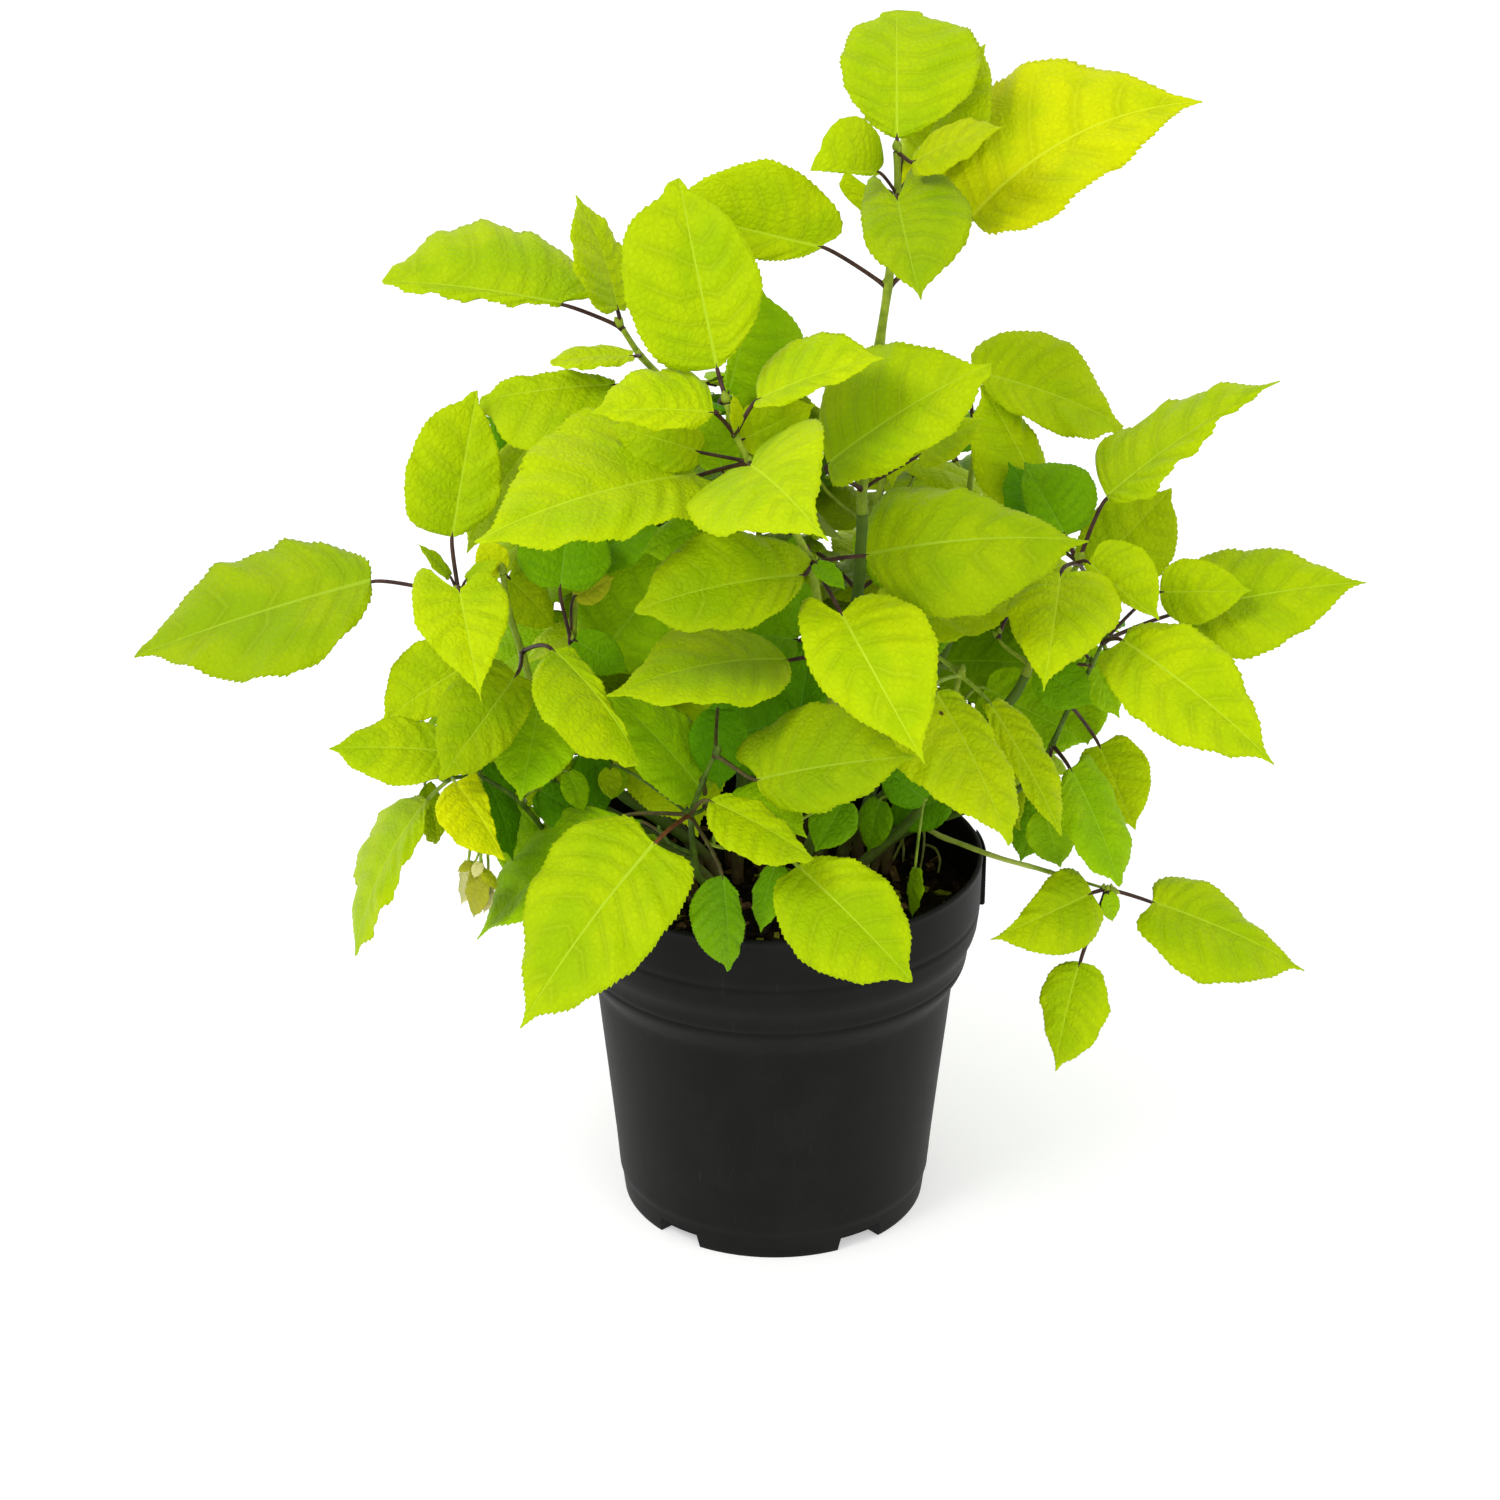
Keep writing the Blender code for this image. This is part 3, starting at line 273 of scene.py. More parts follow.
        Leaf((990, 703), (1063, 836), 88, (0.06, 0.09), 2, "bright"),
        Leaf((938, 662), (1103, 672), 80, (-0.03, -0.02), 2, "green"),
        Leaf((880, 605), (1040, 592), 78, (0.025, 0.025), 2, "mid", 0.45),
        Leaf((900, 775), (952, 818), 60, (-0.02, 0.0), 0, "dark"),
        Leaf((880, 800), (868, 852), 35, (0.03, 0.03), 0, "dark"),
        Leaf((915, 868), (912, 918), 15, (0.02, 0.03), 0, "green"),
    ), "green"),
    Shoot("low_sprig", (0.048, -0.002), (
        (1060, 875, 0.053), (1107, 889, 0.06),
    ), (
        Leaf((1092, 893), (992, 940), 80, (0.065, 0.09), 1, "mid", 0.56),
        Leaf((1152, 902), (1305, 968), 90, (0.06, 0.07), 1, "mid", 0.42, 0.04, 0.04),
        Leaf((1080, 962), (1055, 1071), 66, (0.08, 0.10), 1, "mid"),
        Leaf((1108, 893), (1113, 922), 19, (0.06, 0.06), 1, "green"),
    ), "dark"),
    Shoot("front_low", (-0.018, -0.050), (
        (694, 855, 0.075), (690, 815, 0.09), (703, 780, 0.095), (715, 755, 0.10),
    ), (
        Leaf((655, 843), (520, 1028), 133, (0.13, 0.17), 1, "mid", 0.37, 0.05, 0.04),
        Leaf((620, 817), (474, 936), 70, (0.125, 0.135), 1, "green"),
        Leaf((710, 801), (812, 858), 62, (0.12, 0.15), 1, "mid"),
        Leaf((704, 793), (610, 692), 76, (0.08, 0.07), 2, "green", 0.4),
        Leaf((757, 780), (912, 758), 107, (0.11, 0.14), 3, "soft", 0.63, 0.06, 0.08),
        Leaf((722, 875), (728, 972), 54, (0.125, 0.135), 1, "dark"),
        Leaf((718, 710), (720, 790), 60, (0.06, 0.07), 3, "deep"),
        Leaf((610, 768), (611, 800), 25, (0.05, 0.05), 1, "mid"),
    ), "red"),
    Shoot("front_right", (0.006, -0.046), (
        (772, 880, 0.07), (768, 840, 0.09),
    ), (
        Leaf((798, 866), (913, 980), 106, (0.13, 0.17), 1, "mid", 0.47, 0.05, 0.04),
        Leaf((775, 866), (760, 932), 35, (0.10, 0.118), 1, "dark"),
        Leaf((845, 800), (815, 852), 50, (0.06, 0.07), 1, "dark"),
    ), "green"),
)

# Cane routes that bend on their way, between foot and shoot
WAY_POINTS = {"low_sprig": ((893, 820, 0.0), (945, 838, 0.02), (1000, 858, 0.045))}

# Far shoots: name, foot, where the shoot starts and where it ends, in metres
FAR_SHOOTS = (
    ("back_high_left", (-0.006, 0.028), (-0.035, 0.048, 0.320), (-0.055, 0.075, 0.425)),
    ("back_high_right", (0.014, 0.048), (0.045, 0.062, 0.330), (0.065, 0.090, 0.420)),
    ("back_left", (-0.024, 0.040), (-0.070, 0.060, 0.270), (-0.130, 0.115, 0.365)),
    ("back_centre", (-0.004, 0.050), (-0.005, 0.095, 0.270), (-0.010, 0.155, 0.375)),
    ("back_right", (0.046, 0.036), (0.078, 0.070, 0.270), (0.130, 0.120, 0.360)),
    ("back_low_left", (-0.042, 0.024), (-0.085, 0.055, 0.225), (-0.165, 0.085, 0.275)),
    ("back_low", (0.020, 0.066), (0.030, 0.100, 0.235), (0.045, 0.175, 0.285)),
    ("back_low_right", (0.062, 0.030), (0.095, 0.050, 0.230), (0.165, 0.070, 0.270)),
)
FAR_TONES = ("mid", "bright", "green", "mid", "bright", "mid", "green")

# Leaves too small or too hidden for the solids: the shoot's name, then the leaf's values
MORE_LEAVES = (
    ("leader", (908, 158), (988, 222), 78, (-0.035, -0.045), 4, "yellow"),
    ("right_inner", (985, 688), (1090, 742), 86, (0.0, 0.0), 1, "green", 0.45),
    ("right_lower", (1042, 790), (1020, 862), 52, (0.0, 0.01), 0, "dark"),
    ("centre", (742, 440), (815, 404), 60, (0.055, 0.05), 5, "bright"),
    ("centre", (700, 452), (610, 425), 62, (0.05, 0.04), 4, "mid"),
    ("centre", (730, 520), (640, 552), 56, (0.06, 0.06), 3, "green"),
    ("centre", (800, 715), (815, 625), 60, (0.045, 0.035), 0, "deep"),
    ("left_mid", (575, 640), (628, 672), 44, (0.005, 0.0), 1, "dark"),
    ("left_mid", (592, 745), (606, 815), 40, (0.03, 0.03), 0, "deep"),
    ("centre", (722, 470), (708, 408), 50, (0.045, 0.035), 4, "green"),
    ("centre", (735, 430), (765, 385), 40, (0.05, 0.045), 5, "green"),
    ("centre", (808, 632), (785, 570), 44, (0.055, 0.05), 1, "dark"),
    ("left_mid", (585, 556), (668, 528), 50, (0.0, 0.0), 2, "dark"),
    ("left_mid", (566, 478), (486, 416), 62, (-0.01, -0.02), 3, "deep"),
    ("right_inner", (925, 800), (878, 762), 46, (0.0, 0.0), 0, "deep"),
    ("right_inner", (948, 796), (884, 824), 50, (0.02, 0.02), 0, "deep"),
    ("right_lower", (1040, 668), (1092, 705), 56, (0.03, 0.04), 2, "dark"),
    ("left_mid", (612, 765), (609, 802), 34, (0.03, 0.03), 0, "green"),
    ("right_lower", (1083, 690), (1088, 745), 46, (0.02, 0.03), 1, "green"),
    ("left_low", (525, 805), (505, 880), 46, (0.05, 0.06), 1, "green"),
    ("left_low", (480, 866), (474, 918), 24, (0.10, 0.102), 2, "olive", 0.5, 0.1, 0.1),
    ("left_low", (474, 862), (457, 872), 11, (0.10, 0.105), 2, "olive", 0.5, 0.2),
    ("left_low", (484, 868), (497, 890), 10, (0.106, 0.108), 2, "bronze", 0.5, 0.2),
    ("left_low", (480, 862), (474, 878), 12, (0.108, 0.110), 2, "withered", 0.5, 0.2),
)

# Inner twigs: shoots without them, tries at each place, reach in metres, and what their leaves are like.
# Pairs of numbers are the ends of a range.
BARE_SHOOTS = ("low_sprig", "leader")
TWIG_ROUNDS = 3
TWIG_TRIES = 2
TWIG_FROM = 0.45
TWIG_EVERY = 6
TWIG_SPANS = 4
TWIG_RADIUS = 0.0010
TWIG_CLIMB = (-0.1, 0.9)
TWIG_LENGTH = (0.012, 0.045)
TWIG_BEYOND = 0.015
INNER_SIZE = 0.82
INNER_SIZE_RANGE = (0.75, 1.15)
# Inner leaves are mostly dark and deep: partly darker old leaves, partly painted shade inside the crown.
INNER_TONES = ("dark", "deep", "green", "deep", "dark", "green", "mid")

# Parts of the picture that stay open: the soil at the right and in front, and a gap at the upper right
OPEN_PLACES = (
    ((886, 822), (905, 812), (985, 812), (990, 900), (905, 930)),
    ((735, 868), (795, 850), (800, 945), (735, 945)),
    ((1026, 424), (1060, 430), (1092, 452), (1100, 482), (1066, 482), (1040, 455)),
)

# Where a blade is tried against the picture: shares of its length, and places across it
TRIED_ALONG = (0.0, 0.3, 0.6, 0.9)
TRIED_ACROSS = (-0.9, 0.0, 0.9)


def unit(vector):
    """The vector at length 1."""
    return vector / np.linalg.norm(vector)


def seen(px, py, forward):
    """The point on the upright plane y = -forward that shows at pixel px, py."""
    right, up = (px - MIDDLE_PX) / FOCAL_PX, (MIDDLE_PX - py) / FOCAL_PX
    ray = np.array((right, cos(PITCH) + up * sin(PITCH), up * cos(PITCH) - sin(PITCH)))
    return EYE + ray * (-forward - EYE[1]) / ray[1]


def depth(point):
    """How far a point is from the eye along the line of sight."""
    return (point - EYE) @ np.array((0.0, cos(PITCH), -sin(PITCH)))


def shown(point):
    """The pixel at which a point shows. It takes a point or an array of points."""
    up = (point - EYE) @ np.array((0.0, sin(PITCH), cos(PITCH)))
    scale = FOCAL_PX / depth(point)
    return MIDDLE_PX + (point[..., 0] - EYE[0]) * scale, MIDDLE_PX - up * scale


def within(outline, px, py):
    """True if a pixel lies inside an outline, by counting the edges to its right."""
    inside = False
    for (x0, y0), (x1, y1) in zip(outline, outline[1:] + outline[:1]):
        if (y0 > py) != (y1 > py) and px < x0 + (py - y0) * (x1 - x0) / (y1 - y0):
            inside = not inside
    return inside


def flow(start, start_pull, end, end_pull, spans):
    """Points along a cubic curve with those pulls at its ends."""
    t = np.linspace(0.0, 1.0, spans + 1)[:, None]
    return ((2 * t**3 - 3 * t**2 + 1) * start + (t**3 - 2 * t**2 + t) * start_pull
            + (3 * t**2 - 2 * t**3) * end + (t**3 - t**2) * end_pull)


def near_blade(leaf, shift):
    """A blade from the picture: it turns its face up from the viewer as far as it looks too narrow."""
    joint = seen(*leaf.joint, leaf.forward[0] + shift)
    tip = seen(*leaf.tip, leaf.forward[1] + shift)
    middle = (joint + tip) / 2
    length = np.linalg.norm(tip - joint)
    along = (tip - joint) / length
    looks = leaf.wide * depth(middle) / FOCAL_PX
    faced = min(1.0, looks / (BLADE_RATIO * length))
    facing = unit(EYE - middle)
    facing = unit(facing - along * (facing @ along))
    left = np.cross(facing, along)
    lean = np.sqrt(1.0 - faced**2) * (1 if left[2] > 0.0 else -1)
    halves = np.array((leaf.left, 1.0 - leaf.left)) * looks
    halves -= np.array((1, -1)) * leaf.arch * length * lean
    halves = np.maximum(halves, LEAST_HALF * looks) / faced
    return Blade(joint, tip, halves, facing * faced + left * lean, leaf.arch, leaf.lobe, leaf.bow)


def blade_point(blade, share, across):
    """A point of the mid surface: share of the way to the tip, and across from -1, left, to 1, right."""
    reach = blade.tip - blade.joint
    length = np.linalg.norm(reach)
    right = unit(np.cross(reach, blade.normal))
    stations = (SHOULDER[0] - blade.lobe, WIDEST[0], TAPER[0], 1.0)
    outline = np.interp(share, stations, (SHOULDER[1], WIDEST[1], TAPER[1], 0.0))
    rise = length * 4 * share * (1 - share)
    offset = blade.halves[0 if across < 0 else 1] * outline * across + blade.bow * rise
    lift = blade.arch * rise
    return blade.joint + reach * share + right * offset + blade.normal * lift


def blade_shell(blade, extra=0.0):
    """Corners and faces of a blade: a thin lens, thickest along its midrib, with a four-sided half."""
    half_thick = BLADE_THICKNESS / 2 * np.linalg.norm(blade.tip - blade.joint) + extra
    stations = (SHOULDER[0] - blade.lobe, WIDEST[0], TAPER[0])
    left = [blade_point(blade, share, -1) for share in stations]
    right = [blade_point(blade, share, 1) for share in stations]
    ribs = [blade_point(blade, share, 0) for share in stations[1:]]
    upper = [rib + blade.normal * half_thick for rib in ribs]
    lower = [rib - blade.normal * half_thick for rib in ribs]
    corners = [blade.joint, *left, blade.tip, *right[::-1], *upper, *lower]
    faces = []
    for near, far, turn in ((8, 9, 1), (10, 11, -1)):
        fan = [(0, 1, near), (1, 2, near), (2, 3, far), (3, 4, far), (4, 5, far), (5, 6, far),
               (6, 7, near), (7, 0, near), (2, far, near), (6, near, far)]
        faces += [face[::turn] for face in fan]
    return corners, faces


def grid_faces(rows, columns, closed=False):
    """Faces of a grid of rows x columns points. closed joins the last column to the first."""
    row = np.arange(rows - 1)[:, None] * columns
    column = np.arange(columns if closed else columns - 1)[None, :]
    after = (column + 1) % columns
    corners = (row + column, row + after, row + columns + after, row + columns + column)
    return np.stack(corners, axis=-1).reshape(-1, 4)


def tube_shell(points, radius):
    """A three-sided tube round points, for the test of room."""
    corners = []
    for i, point in enumerate(points):
        way = unit(points[min(i + 1, len(points) - 1)] - points[max(i - 1, 0)])
        side = unit(np.cross(way, ODD_WAY))
        other = np.cross(way, side)
        turns = [2 * pi * k / 3 for k in range(3)]
        corners += [point + radius * (side * cos(turn) + other * sin(turn)) for turn in turns]
    return corners, grid_faces(len(points), 3, closed=True).tolist()


def ring_shell(*rings):
    """A turned skin through (radius, height) rings, for the test of room."""
    turns = [2 * pi * k / ROUND_SIDES for k in range(ROUND_SIDES)]
    corners = [(radius * cos(turn), radius * sin(turn), height)
               for radius, height in rings for turn in turns]
    return corners, grid_faces(len(rings), ROUND_SIDES, closed=True).tolist()


def tree(shell):
    """A shell as a search tree."""
    return BVHTree.FromPolygons([Vector(corner) for corner in shell[0]], shell[1])


def petiole(node, blade, spans=PETIOLE_SPANS):
    """Points of a petiole: from its node it swings over to the blade and runs on into the midrib."""
    span = np.linalg.norm(blade.joint - node)
    out = (blade.joint - node) * PETIOLE_PULL + np.array((0.0, 0.0, PETIOLE_RISE * span))
    points = flow(node, out, blade.joint, unit(blade.tip - blade.joint) * span, spans)
    return np.vstack((points, blade_point(blade, ROOT_SHARE, 0)))


class Room:
    """Keeps each blade, petiole, twig, stem and cane clear of the others."""

    def __init__(self):
        self.taken, self.lows, self.highs = [], [], []

    def take(self, owner, kind, shell):
        """Adds a shape of a shoot to what has been placed."""
        corners = np.array([tuple(corner) for corner in shell[0]])
        self.taken.append((owner, kind, tree(shell)))
        self.lows.append(corners.min(axis=0))
        self.highs.append(corners.max(axis=0))

    def free(self, owner, shell, may_join):
        """True if a shape touches nothing, or if it may join, only the stem and stalks of its own shoot."""
        corners = np.array([tuple(corner) for corner in shell[0]])
        near = (np.array(self.lows) <= corners.max(axis=0)) & (np.array(self.highs) >= corners.min(axis=0))
        here = tree(shell)
        for i in np.flatnonzero(near.all(axis=1)):
            other, kind, placed = self.taken[i]
            if may_join and other == owner and kind not in ("blade", "cane"):
                continue
            if here.overlap(placed):
                return False
        return True

    def settle(self, owner, node, choices):
        """The first of the choices of blade that is clear, or None."""
        for blade in choices:
            shell = blade_shell(blade, ROOM)
            thin = tube_shell(petiole(node, blade)[:-1], PETIOLE_RADIUS + ROOM)
            if self.free(owner, shell, False) and self.free(owner, thin, True):
                self.take(owner, "blade", shell)
                self.take(owner, "petiole", thin)
                return blade
        return None


def near_choices(leaf):
    """A leaf of the picture, then the same leaf nearer to or further from the viewer."""
    for step in range(STEPS + 1):
        for way in ((1, -1) if step else (1,)):
            yield near_blade(leaf, way * step * STEP)


def far_choices(node, angle, rng, scale=1.0):
    """A leaf of the far side: out from its node at about that angle, arching over, then smaller ones."""
    outward = unit(np.array((node[0], node[1], 0.0)))
    for size in FAR_SIZES:
        bearing = angle + rng.uniform(*FAR_SWING)
        way = unit(np.array((cos(bearing), sin(bearing), FAR_CLIMB)) + FAR_OUTWARD * outward)
        petiole_length = FAR_PETIOLE_LENGTH * rng.uniform(*FAR_PETIOLE_RANGE) * size * scale
        length = FAR_LEAF_LENGTH * rng.uniform(*FAR_LENGTH_RANGE) * size * scale
        joint = node + unit(way + FAR_LIFT * UP) * petiole_length
        along = unit(way - UP * rng.uniform(*FAR_DROOP))
        side = unit(np.cross(along, UP))
        normal = unit(np.cross(side, along) + side * rng.uniform(*FAR_TILT))
        half = length * BLADE_RATIO / 2 * rng.uniform(*FAR_WIDTH_RANGE)
        arch = rng.uniform(*FAR_ARCH)
        yield Blade(joint, joint + along * length, (half, half), normal, arch, FAR_LOBE, 0.0)


def inside_crown(blade):
    """True if a far blade shows only where near leaves stand before it."""
    corners, _ = blade_shell(blade)
    return all(within(CROWN_OUTLINE, *shown(corner)) for corner in corners)


class Cover:
    """What the viewer sees: the leaves that show, and the places that stay open."""

    def __init__(self, blades):
        corners, faces = [], []
        for blade in blades:
            shell = blade_shell(blade)
            faces += [tuple(k + len(corners) for k in face) for face in shell[1]]
            corners += shell[0]
        self.leaves = tree((corners, faces))

    def lets(self, blade):
        """True if a blade shows inside the crown, hides no leaf that shows and covers no open place."""
        if not inside_crown(blade):
            return False
        for share in TRIED_ALONG:
            for across in TRIED_ACROSS:
                spot = blade_point(blade, share, across)
                if any(within(place, *shown(spot)) for place in OPEN_PLACES):
                    return False
                if self.leaves.ray_cast(Vector(spot), Vector(unit(spot - EYE)))[0] is not None:
                    return False
        return True


def grow_twigs(name, plan, room, cover, rng):
    """Side twigs of a shoot, each with up to two small leaves, that fill its part of the crown."""
    low, high = (np.array(corner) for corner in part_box(f"shoot_{name}"))
    upper_cane = plan["cane"][int(len(plan["cane"]) * TWIG_FROM)::TWIG_EVERY]
    for node in (*plan["stem"][1:], *upper_cane):
        for _ in range(TWIG_TRIES):
            bearing = rng.uniform(0.0, 2 * pi)
            way = unit(np.array((cos(bearing), sin(bearing), rng.uniform(*TWIG_CLIMB))))
            length = rng.uniform(*TWIG_LENGTH)
            end = node + way * length
            line = flow(node, way * length, end, (way + UP) * length * 0.5, TWIG_SPANS)
            thin = tube_shell(line, TWIG_RADIUS + ROOM)
            if not room.free(name, thin, True):
                continue
            grown = []
            for half_turn in (0.0, pi):
                turn = bearing + pi / 2 + half_turn
                scale = INNER_SIZE * rng.uniform(*INNER_SIZE_RANGE)
                choices = (blade for blade in far_choices(end, turn, rng, scale)
                           if cover.lets(blade) and (blade.tip > low - TWIG_BEYOND).all()
                           and (blade.tip < high + TWIG_BEYOND).all())
                blade = room.settle(name, end, choices)
                if blade:
                    tone = INNER_TONES[rng.integers(len(INNER_TONES))]
                    grown.append((blade, end, tone, None))
            if grown:
                room.take(name, "twig", thin)
                plan["leaves"] += grown
                plan["twigs"].append(line)


def cane_route(shoot_name, foot, entry, first_way, fine=1):
    """Points of a cane, from over the soil to its shoot's foot, with a short straight run at each end."""
    start = np.array((foot[0], foot[1], SOIL_TOP + GAP))
    stops = [seen(*stop) for stop in WAY_POINTS.get(shoot_name, ())]
    knots = [start + UP * STRAIGHT_END, *stops, entry - first_way * STRAIGHT_END]
    ways = [UP, *(unit(after - before) for before, after in zip(knots[:-2], knots[2:])), first_way]
    spans = (CANE_SPANS if len(knots) == 2 else 1) * fine
    points = [start[None], knots[0][None]]
    for i in range(len(knots) - 1):
        reach = np.linalg.norm(knots[i + 1] - knots[i])
        points.append(flow(knots[i], ways[i] * reach, knots[i + 1], ways[i + 1] * reach, spans)[1:])
    return np.vstack((*points, entry))


def plan_plant():
    """Routes of all canes and stems, and each shoot's blades with their node, tone and stalk."""
    room = Room()
    room.take("pot", "pot", ring_shell((RIM_RADIUS - POT_WALL, SOIL_TOP), (RIM_RADIUS, POT_HEIGHT),
                                       (RIM_RADIUS, SHOULDER_HEIGHT), (BASE_RADIUS, 0.0)))
    room.take("pot", "pot", ring_shell((SOIL_EYE, SOIL_TOP), (RIM_RADIUS, SOIL_TOP)))
    plans = {}

    def place(name, leaf):
        """Puts a leaf of the picture on its shoot, where there is room."""
        node = plans[name]["stem"][1 + leaf.at]
        blade = room.settle(name, node, near_choices(leaf))
        if blade:
            plans[name]["leaves"].append((blade, node, leaf.tone, leaf.joint))

    starts = []
    for shoot in NEAR_SHOOTS:
        starts.append((shoot.name, shoot.foot, np.array([seen(*spot) for spot in shoot.stem])))
    for name, foot, low, high in FAR_SHOOTS:
        low, high = np.array(low), np.array(high)
        nodes = 1 + round(np.linalg.norm(high - low) / NODE_SPACING)
        rise = (high - low) + np.array((0.0, 0.0, FAR_RISE))
        starts.append((name, foot, flow(low, rise, high, rise, nodes)))
    for name, foot, nodes in starts:
        first_way = unit(nodes[1] - nodes[0])
        stem = np.vstack((nodes[0] - first_way * STEM_BELOW_NODE, nodes))
        entry = stem[0] - first_way * GAP
        cane = cane_route(name, foot, entry, first_way)
        fine_cane = cane_route(name, foot, entry, first_way, CANE_FINENESS)
        plans[name] = {"cane": fine_cane, "stem": stem, "leaves": [], "twigs": [], "stalk": "dark"}
        room.take(name, "cane", tube_shell(cane, CANE_RADIUS + ROOM))
        room.take(name, "stem", tube_shell(stem, STEM_RADIUS + ROOM))
    for shoot in NEAR_SHOOTS:
        plans[shoot.name]["stalk"] = shoot.stalk
        for leaf in shoot.leaves:
            place(shoot.name, leaf)
    rng = np.random.default_rng(SEED)
    for name, _, _, _ in FAR_SHOOTS:
        stem = plans[name]["stem"]
        first = rng.uniform(0.0, pi)
        for i, node in enumerate(stem[1:]):
            for half_turn in (0.0, pi):
                choices = far_choices(node, first + i * pi / 2 + half_turn, rng)
                blade = room.settle(name, node, (blade for blade in choices if inside_crown(blade)))
                if blade:
                    tone = FAR_TONES[len(plans[name]["leaves"]) % len(FAR_TONES)]
                    plans[name]["leaves"].append((blade, node, tone, None))
    for name, *values in MORE_LEAVES:
        place(name, Leaf(*values))
    cover = Cover([leaf[0] for plan in plans.values() for leaf in plan["leaves"]])
    rng = np.random.default_rng(SEED + 1)
    for _ in range(TWIG_ROUNDS):
        for name, plan in plans.items():
            if name not in BARE_SHOOTS:
                grow_twigs(name, plan, room, cover, rng)
    return plans


def placed(name, data):
    """A new object in the scene."""
    made = bpy.data.objects.new(name, data)
    bpy.context.scene.collection.objects.link(made)
    return made


class Skin:
    """Gathers grids of points into one mesh, with marks on its surface and a finish for each face."""

    def __init__(self):
        self.points, self.faces, self.marks, self.slots, self.flats, self.count = [], [], [], [], [], 0

    def add(self, points, faces, marks, slot=0, flat=False):
        """Adds points (n, 3), faces (m, 4) and marks (n, 3): two surface places, and nearness to the rim.

        slot and flat say, for all faces or for each, which finish it has and if it is shaded flat."""
        self.points.append(points)
        self.faces.append(faces + self.count)
        self.marks.append(marks)
        self.slots.append(np.broadcast_to(slot, len(faces)))
        self.flats.append(np.broadcast_to(flat, len(faces)))
        self.count += len(points)

    def piece(self, name, finishes, slot, *nodes):
        """Makes the mesh object, which rides on the body and stands for the nodes that are given."""
        points, faces, marks = np.vstack(self.points), np.vstack(self.faces), np.vstack(self.marks)
        slots, flats = np.concatenate(self.slots), np.concatenate(self.flats)
        three = faces[:, 2] == faces[:, 3]
        sizes = np.where(three, 3, 4)
        kept = np.column_stack((np.ones((len(faces), 3), bool), ~three))
        corners = faces[kept]
        mesh = bpy.data.meshes.new(name)
        mesh.vertices.add(len(points))
        mesh.vertices.foreach_set("co", points.astype(np.float32).ravel())
        mesh.loops.add(len(corners))
        mesh.loops.foreach_set("vertex_index", corners.astype(np.int32))
        mesh.polygons.add(len(faces))
        starts = np.concatenate(((0,), np.cumsum(sizes)[:-1]))
        mesh.polygons.foreach_set("loop_start", starts.astype(np.int32))
        mesh.polygons.foreach_set("material_index", slots.astype(np.int32))
        mesh.polygons.foreach_set("use_smooth", ~flats)
        for finish in finishes:
            mesh.materials.append(finish)
        layer = mesh.uv_layers.new(name="surface")
        layer.data.foreach_set("uv", marks[corners, :2].astype(np.float32).ravel())
        rim = mesh.attributes.new("rim", "FLOAT", "POINT")
        rim.data.foreach_set("value", marks[:, 2].astype(np.float32))
        mesh.update(calc_edges=True)
        mesh.validate()
        made = placed(name, mesh)
        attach(made, "root")
        if nodes:
            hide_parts(*nodes)


def fans(rows, columns):
    """Faces that close a grid's first and last ring with a point each, which follow the grid's points."""
    k = np.arange(columns)
    after = (k + 1) % columns
    pole, top = rows * columns, (rows - 1) * columns
    low = np.stack((after, k, np.full(columns, pole), np.full(columns, pole)), axis=-1)
    high = np.stack((top + k, top + after, np.full(columns, pole + 1), np.full(columns, pole + 1)),
                    axis=-1)
    return np.vstack((low, high))


def tube(points, radii, sides, ripple=None):
    """A round tube carried along points, with its ends closed by a point each.

    Point (i, k) is path point i plus radius i in the ring's direction at 2 pi k / sides. Each ring stands
    square to the path, and turns from one fixed side. ripple, rings x sides, scales the radius."""
    ways = np.gradient(points, axis=0)
    ways /= np.linalg.norm(ways, axis=1)[:, None]
    fixed = np.eye(3)[np.argmin(np.abs(ways).max(axis=0))]
    side = np.cross(ways, fixed)
    side /= np.linalg.norm(side, axis=1)[:, None]
    other = np.cross(ways, side)
    angle = 2 * pi * np.arange(sides) / sides
    ring = side[:, None] * np.cos(angle)[None, :, None] + other[:, None] * np.sin(angle)[None, :, None]
    spread = np.asarray(radii)[:, None] * (np.ones((1, sides)) if ripple is None else ripple)
    body = (points[:, None] + ring * spread[..., None]).reshape(-1, 3)
    ends = np.array((points[0] - ways[0] * radii[0] * 0.5, points[-1] + ways[-1] * radii[-1] * 0.5))
    faces = np.vstack((grid_faces(len(points), sides, closed=True), fans(len(points), sides)))
    along = np.concatenate(((0.0,), np.cumsum(np.linalg.norm(np.diff(points, axis=0), axis=1))))
    share = np.broadcast_to((along / along[-1])[:, None], (len(points), sides))
    marks = np.stack((np.broadcast_to(angle / (2 * pi), share.shape), share, 0 * share), axis=-1)
    marks = np.vstack((marks.reshape(-1, 3), (0.5, 0.0, 0.0), (0.5, 1.0, 0.0)))
    return np.vstack((body, ends)), faces, marks


def turned(radius, height, angles):
    """A profile carried round Z, from its first pole out and round to its last.

    radius and height are rings x angles, or one value a ring. Point (i, k) is radius in the direction of
    angle k, at height."""
    radius, height = (np.broadcast_to(value if np.ndim(value) == 2 else np.asarray(value)[:, None],
                                      (len(value), len(angles))) for value in (radius, height))
    grid = np.stack((radius * np.cos(angles), radius * np.sin(angles), height), axis=-1)
    poles = np.array(((0.0, 0.0, height[0].mean()), (0.0, 0.0, height[-1].mean())))
    faces = np.vstack((grid_faces(*radius.shape, closed=True), fans(*radius.shape)))
    marks = np.zeros((radius.size + 2, 3))
    return np.vstack((grid.reshape(-1, 3), poles)), faces, marks


